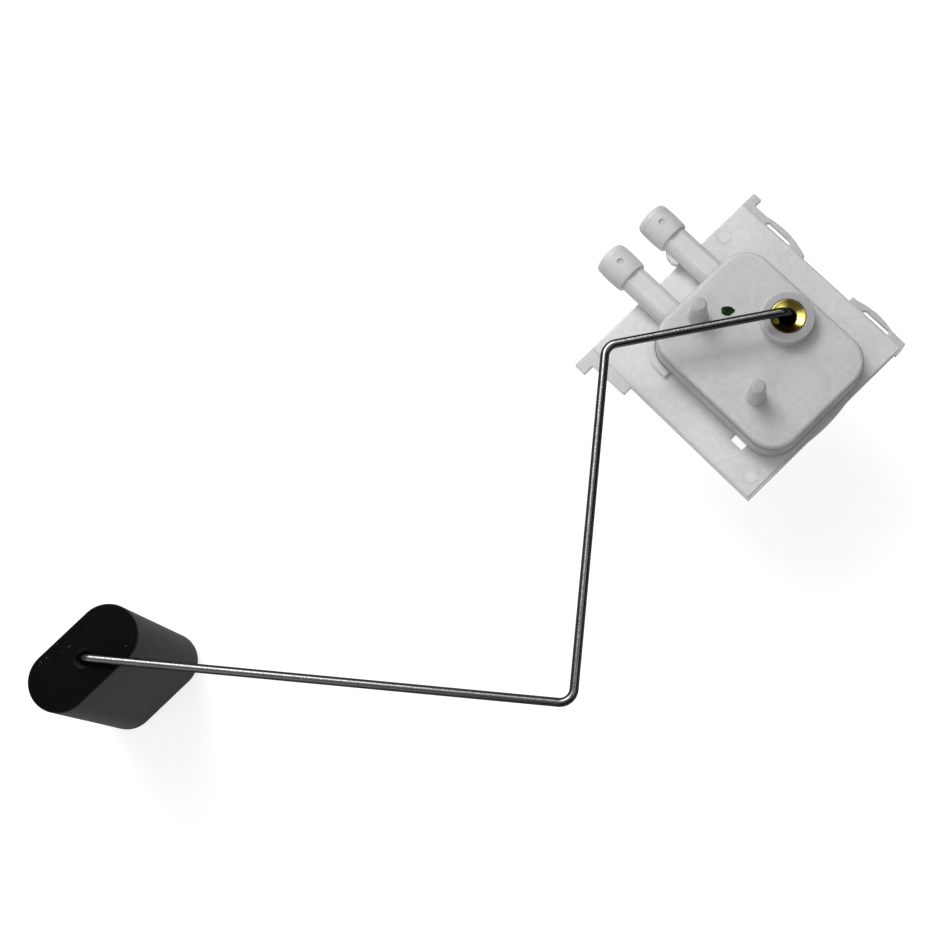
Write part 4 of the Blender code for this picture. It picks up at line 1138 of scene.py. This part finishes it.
# Studio: floor, sky and lamps, each lamp with its place, size and power
FLOOR_Z = FLOAT[0].z - 0.002
FLOOR_SIZE = 6
FLOOR_GREYS = (0.06, 0.5)           # beyond the table and on it
FLOOR_DIM = 0.25                    # how much less the table glows than what is beyond it
TABLE_MIDDLE = (-0.08, 0.01)
TABLE_EDGE = (0.30, 0.12)           # distance from the middle where the table starts and is full
SKY_AXIS = (-0.10, 0.40, 0.9)
SKY_REACH = (0.3, 1.0)
SKY_LIGHT = (0.04, 0.42)
HORIZON = (0.12, 0.06)              # heights between which metal starts to see white
LAMPS = [("key", (0.09, 0.66, 0.80), 0.5, 4.0), ("halo", (0.08, 0.62, 0.82), 0.95, 2.9),
         ("fill", (-0.87, -0.1, 0.5), 0.8, 2.0), ("spark", (0.23, -0.45, 0.86), 0.5, 0.9)]


def make_world():
    """Sky that lights from around one direction. The camera sees it white, and so does metal
    that mirrors its lowest part."""
    world = bpy.data.worlds.new("studio")
    bpy.context.scene.world = world
    world.use_nodes = True
    nodes = Nodes(world.node_tree)
    way = nodes.node("ShaderNodeTexCoord", output="Generated")
    light = nodes.ramp(nodes.dot(way, Vector(SKY_AXIS).normalized()), SKY_REACH, SKY_LIGHT)
    height = nodes.node("ShaderNodeSeparateXYZ", None, {0: way}, "Z")
    strength = light.math("MAXIMUM", nodes.backdrop(nodes.ramp(height, HORIZON)))
    background = nodes.tree.nodes["Background"]
    nodes.feed(background.inputs["Color"], (1, 1, 1, 1))
    nodes.feed(background.inputs["Strength"], strength)


def make_floor():
    """White table that keeps the part's shadow. It glows to the camera and, near the part, to
    metal, and it darkens beyond its edge."""
    half = FLOOR_SIZE / 2
    corners = [(x, y, FLOOR_Z) for x, y in block(-half, half, -half, half)]
    mesh = bpy.data.meshes.new("floor")
    mesh.from_pydata(corners, [], [(0, 1, 2, 3)])
    floor = bpy.data.objects.new("floor", mesh)
    bpy.context.scene.collection.objects.link(floor)
    look = Look("pale_floor", Roughness=0.9, Specular_IOR_Level=0, Emission_Color=(1, 1, 1, 1))
    off = look.node("ShaderNodeVectorMath", {"operation": "DISTANCE"},
                    {0: look.place(), 1: (*TABLE_MIDDLE, FLOOR_Z)}, "Value")
    near = look.ramp(off, TABLE_EDGE)
    grey = look.mix(near, *[shade_of(grey) for grey in FLOOR_GREYS])
    glow = look.backdrop(near) * (1 - near * FLOOR_DIM)
    mesh.materials.append(look.use(Base_Color=grey, Emission_Strength=glow))


def make_lamps():
    for name, where, size, power in LAMPS:
        data = bpy.data.lights.new(name, "AREA")
        data.shape = "DISK"
        data.size = size
        data.energy = power
        lamp = bpy.data.objects.new(name, data)
        lamp.location = where
        lamp.rotation_euler = (-Vector(where)).to_track_quat("-Z", "Y").to_euler()
        bpy.context.scene.collection.objects.link(lamp)


def build():
    acetal = acetal_look("natural_acetal", 0.745, CARRIER_PAINTED_LIGHT_SLOPE, carrier_tint)
    cover_acetal = acetal_look("cover_acetal", 0.64, COVER_PAINTED_LIGHT_SLOPE, cover_tint)
    spring_steel, bronze = dress_inner_nodes()
    dress(make_carrier(), acetal, "acetal", "housing", "carrier")
    dress(make_cover(), cover_acetal, "acetal", "housing", "cover")
    dress(make_bush(), brass_look(), "brass", "housing", "brass_bush")
    dress(make_pin("round_pin_1", PIN_1), bronze, "tinned_bronze", "housing", "terminal_pin_1")
    dress(make_pin("round_pin_2", PIN_2), bronze, "tinned_bronze", "housing", "terminal_pin_2")
    frosted = dull_look("frosted_mark", 0.70, 0.84, 0.5, 0.0006)
    dress(make_marks(frosted), frosted, "acetal", "housing")
    dress(make_dab(), paint_look(), "acetal", "housing")
    wire = wire_look()
    dress(make_arm(wire), wire, "steel_wire", "arm", "float_arm")
    dress(make_clip(), spring_steel, "spring_steel", "arm", "float_clip")
    dress(make_float(), foam_look(), "nitrile_foam", "float", "float")


make_camera()
bpy.context.scene.view_settings.view_transform = "Standard"
make_world()
make_floor()
make_lamps()
build()
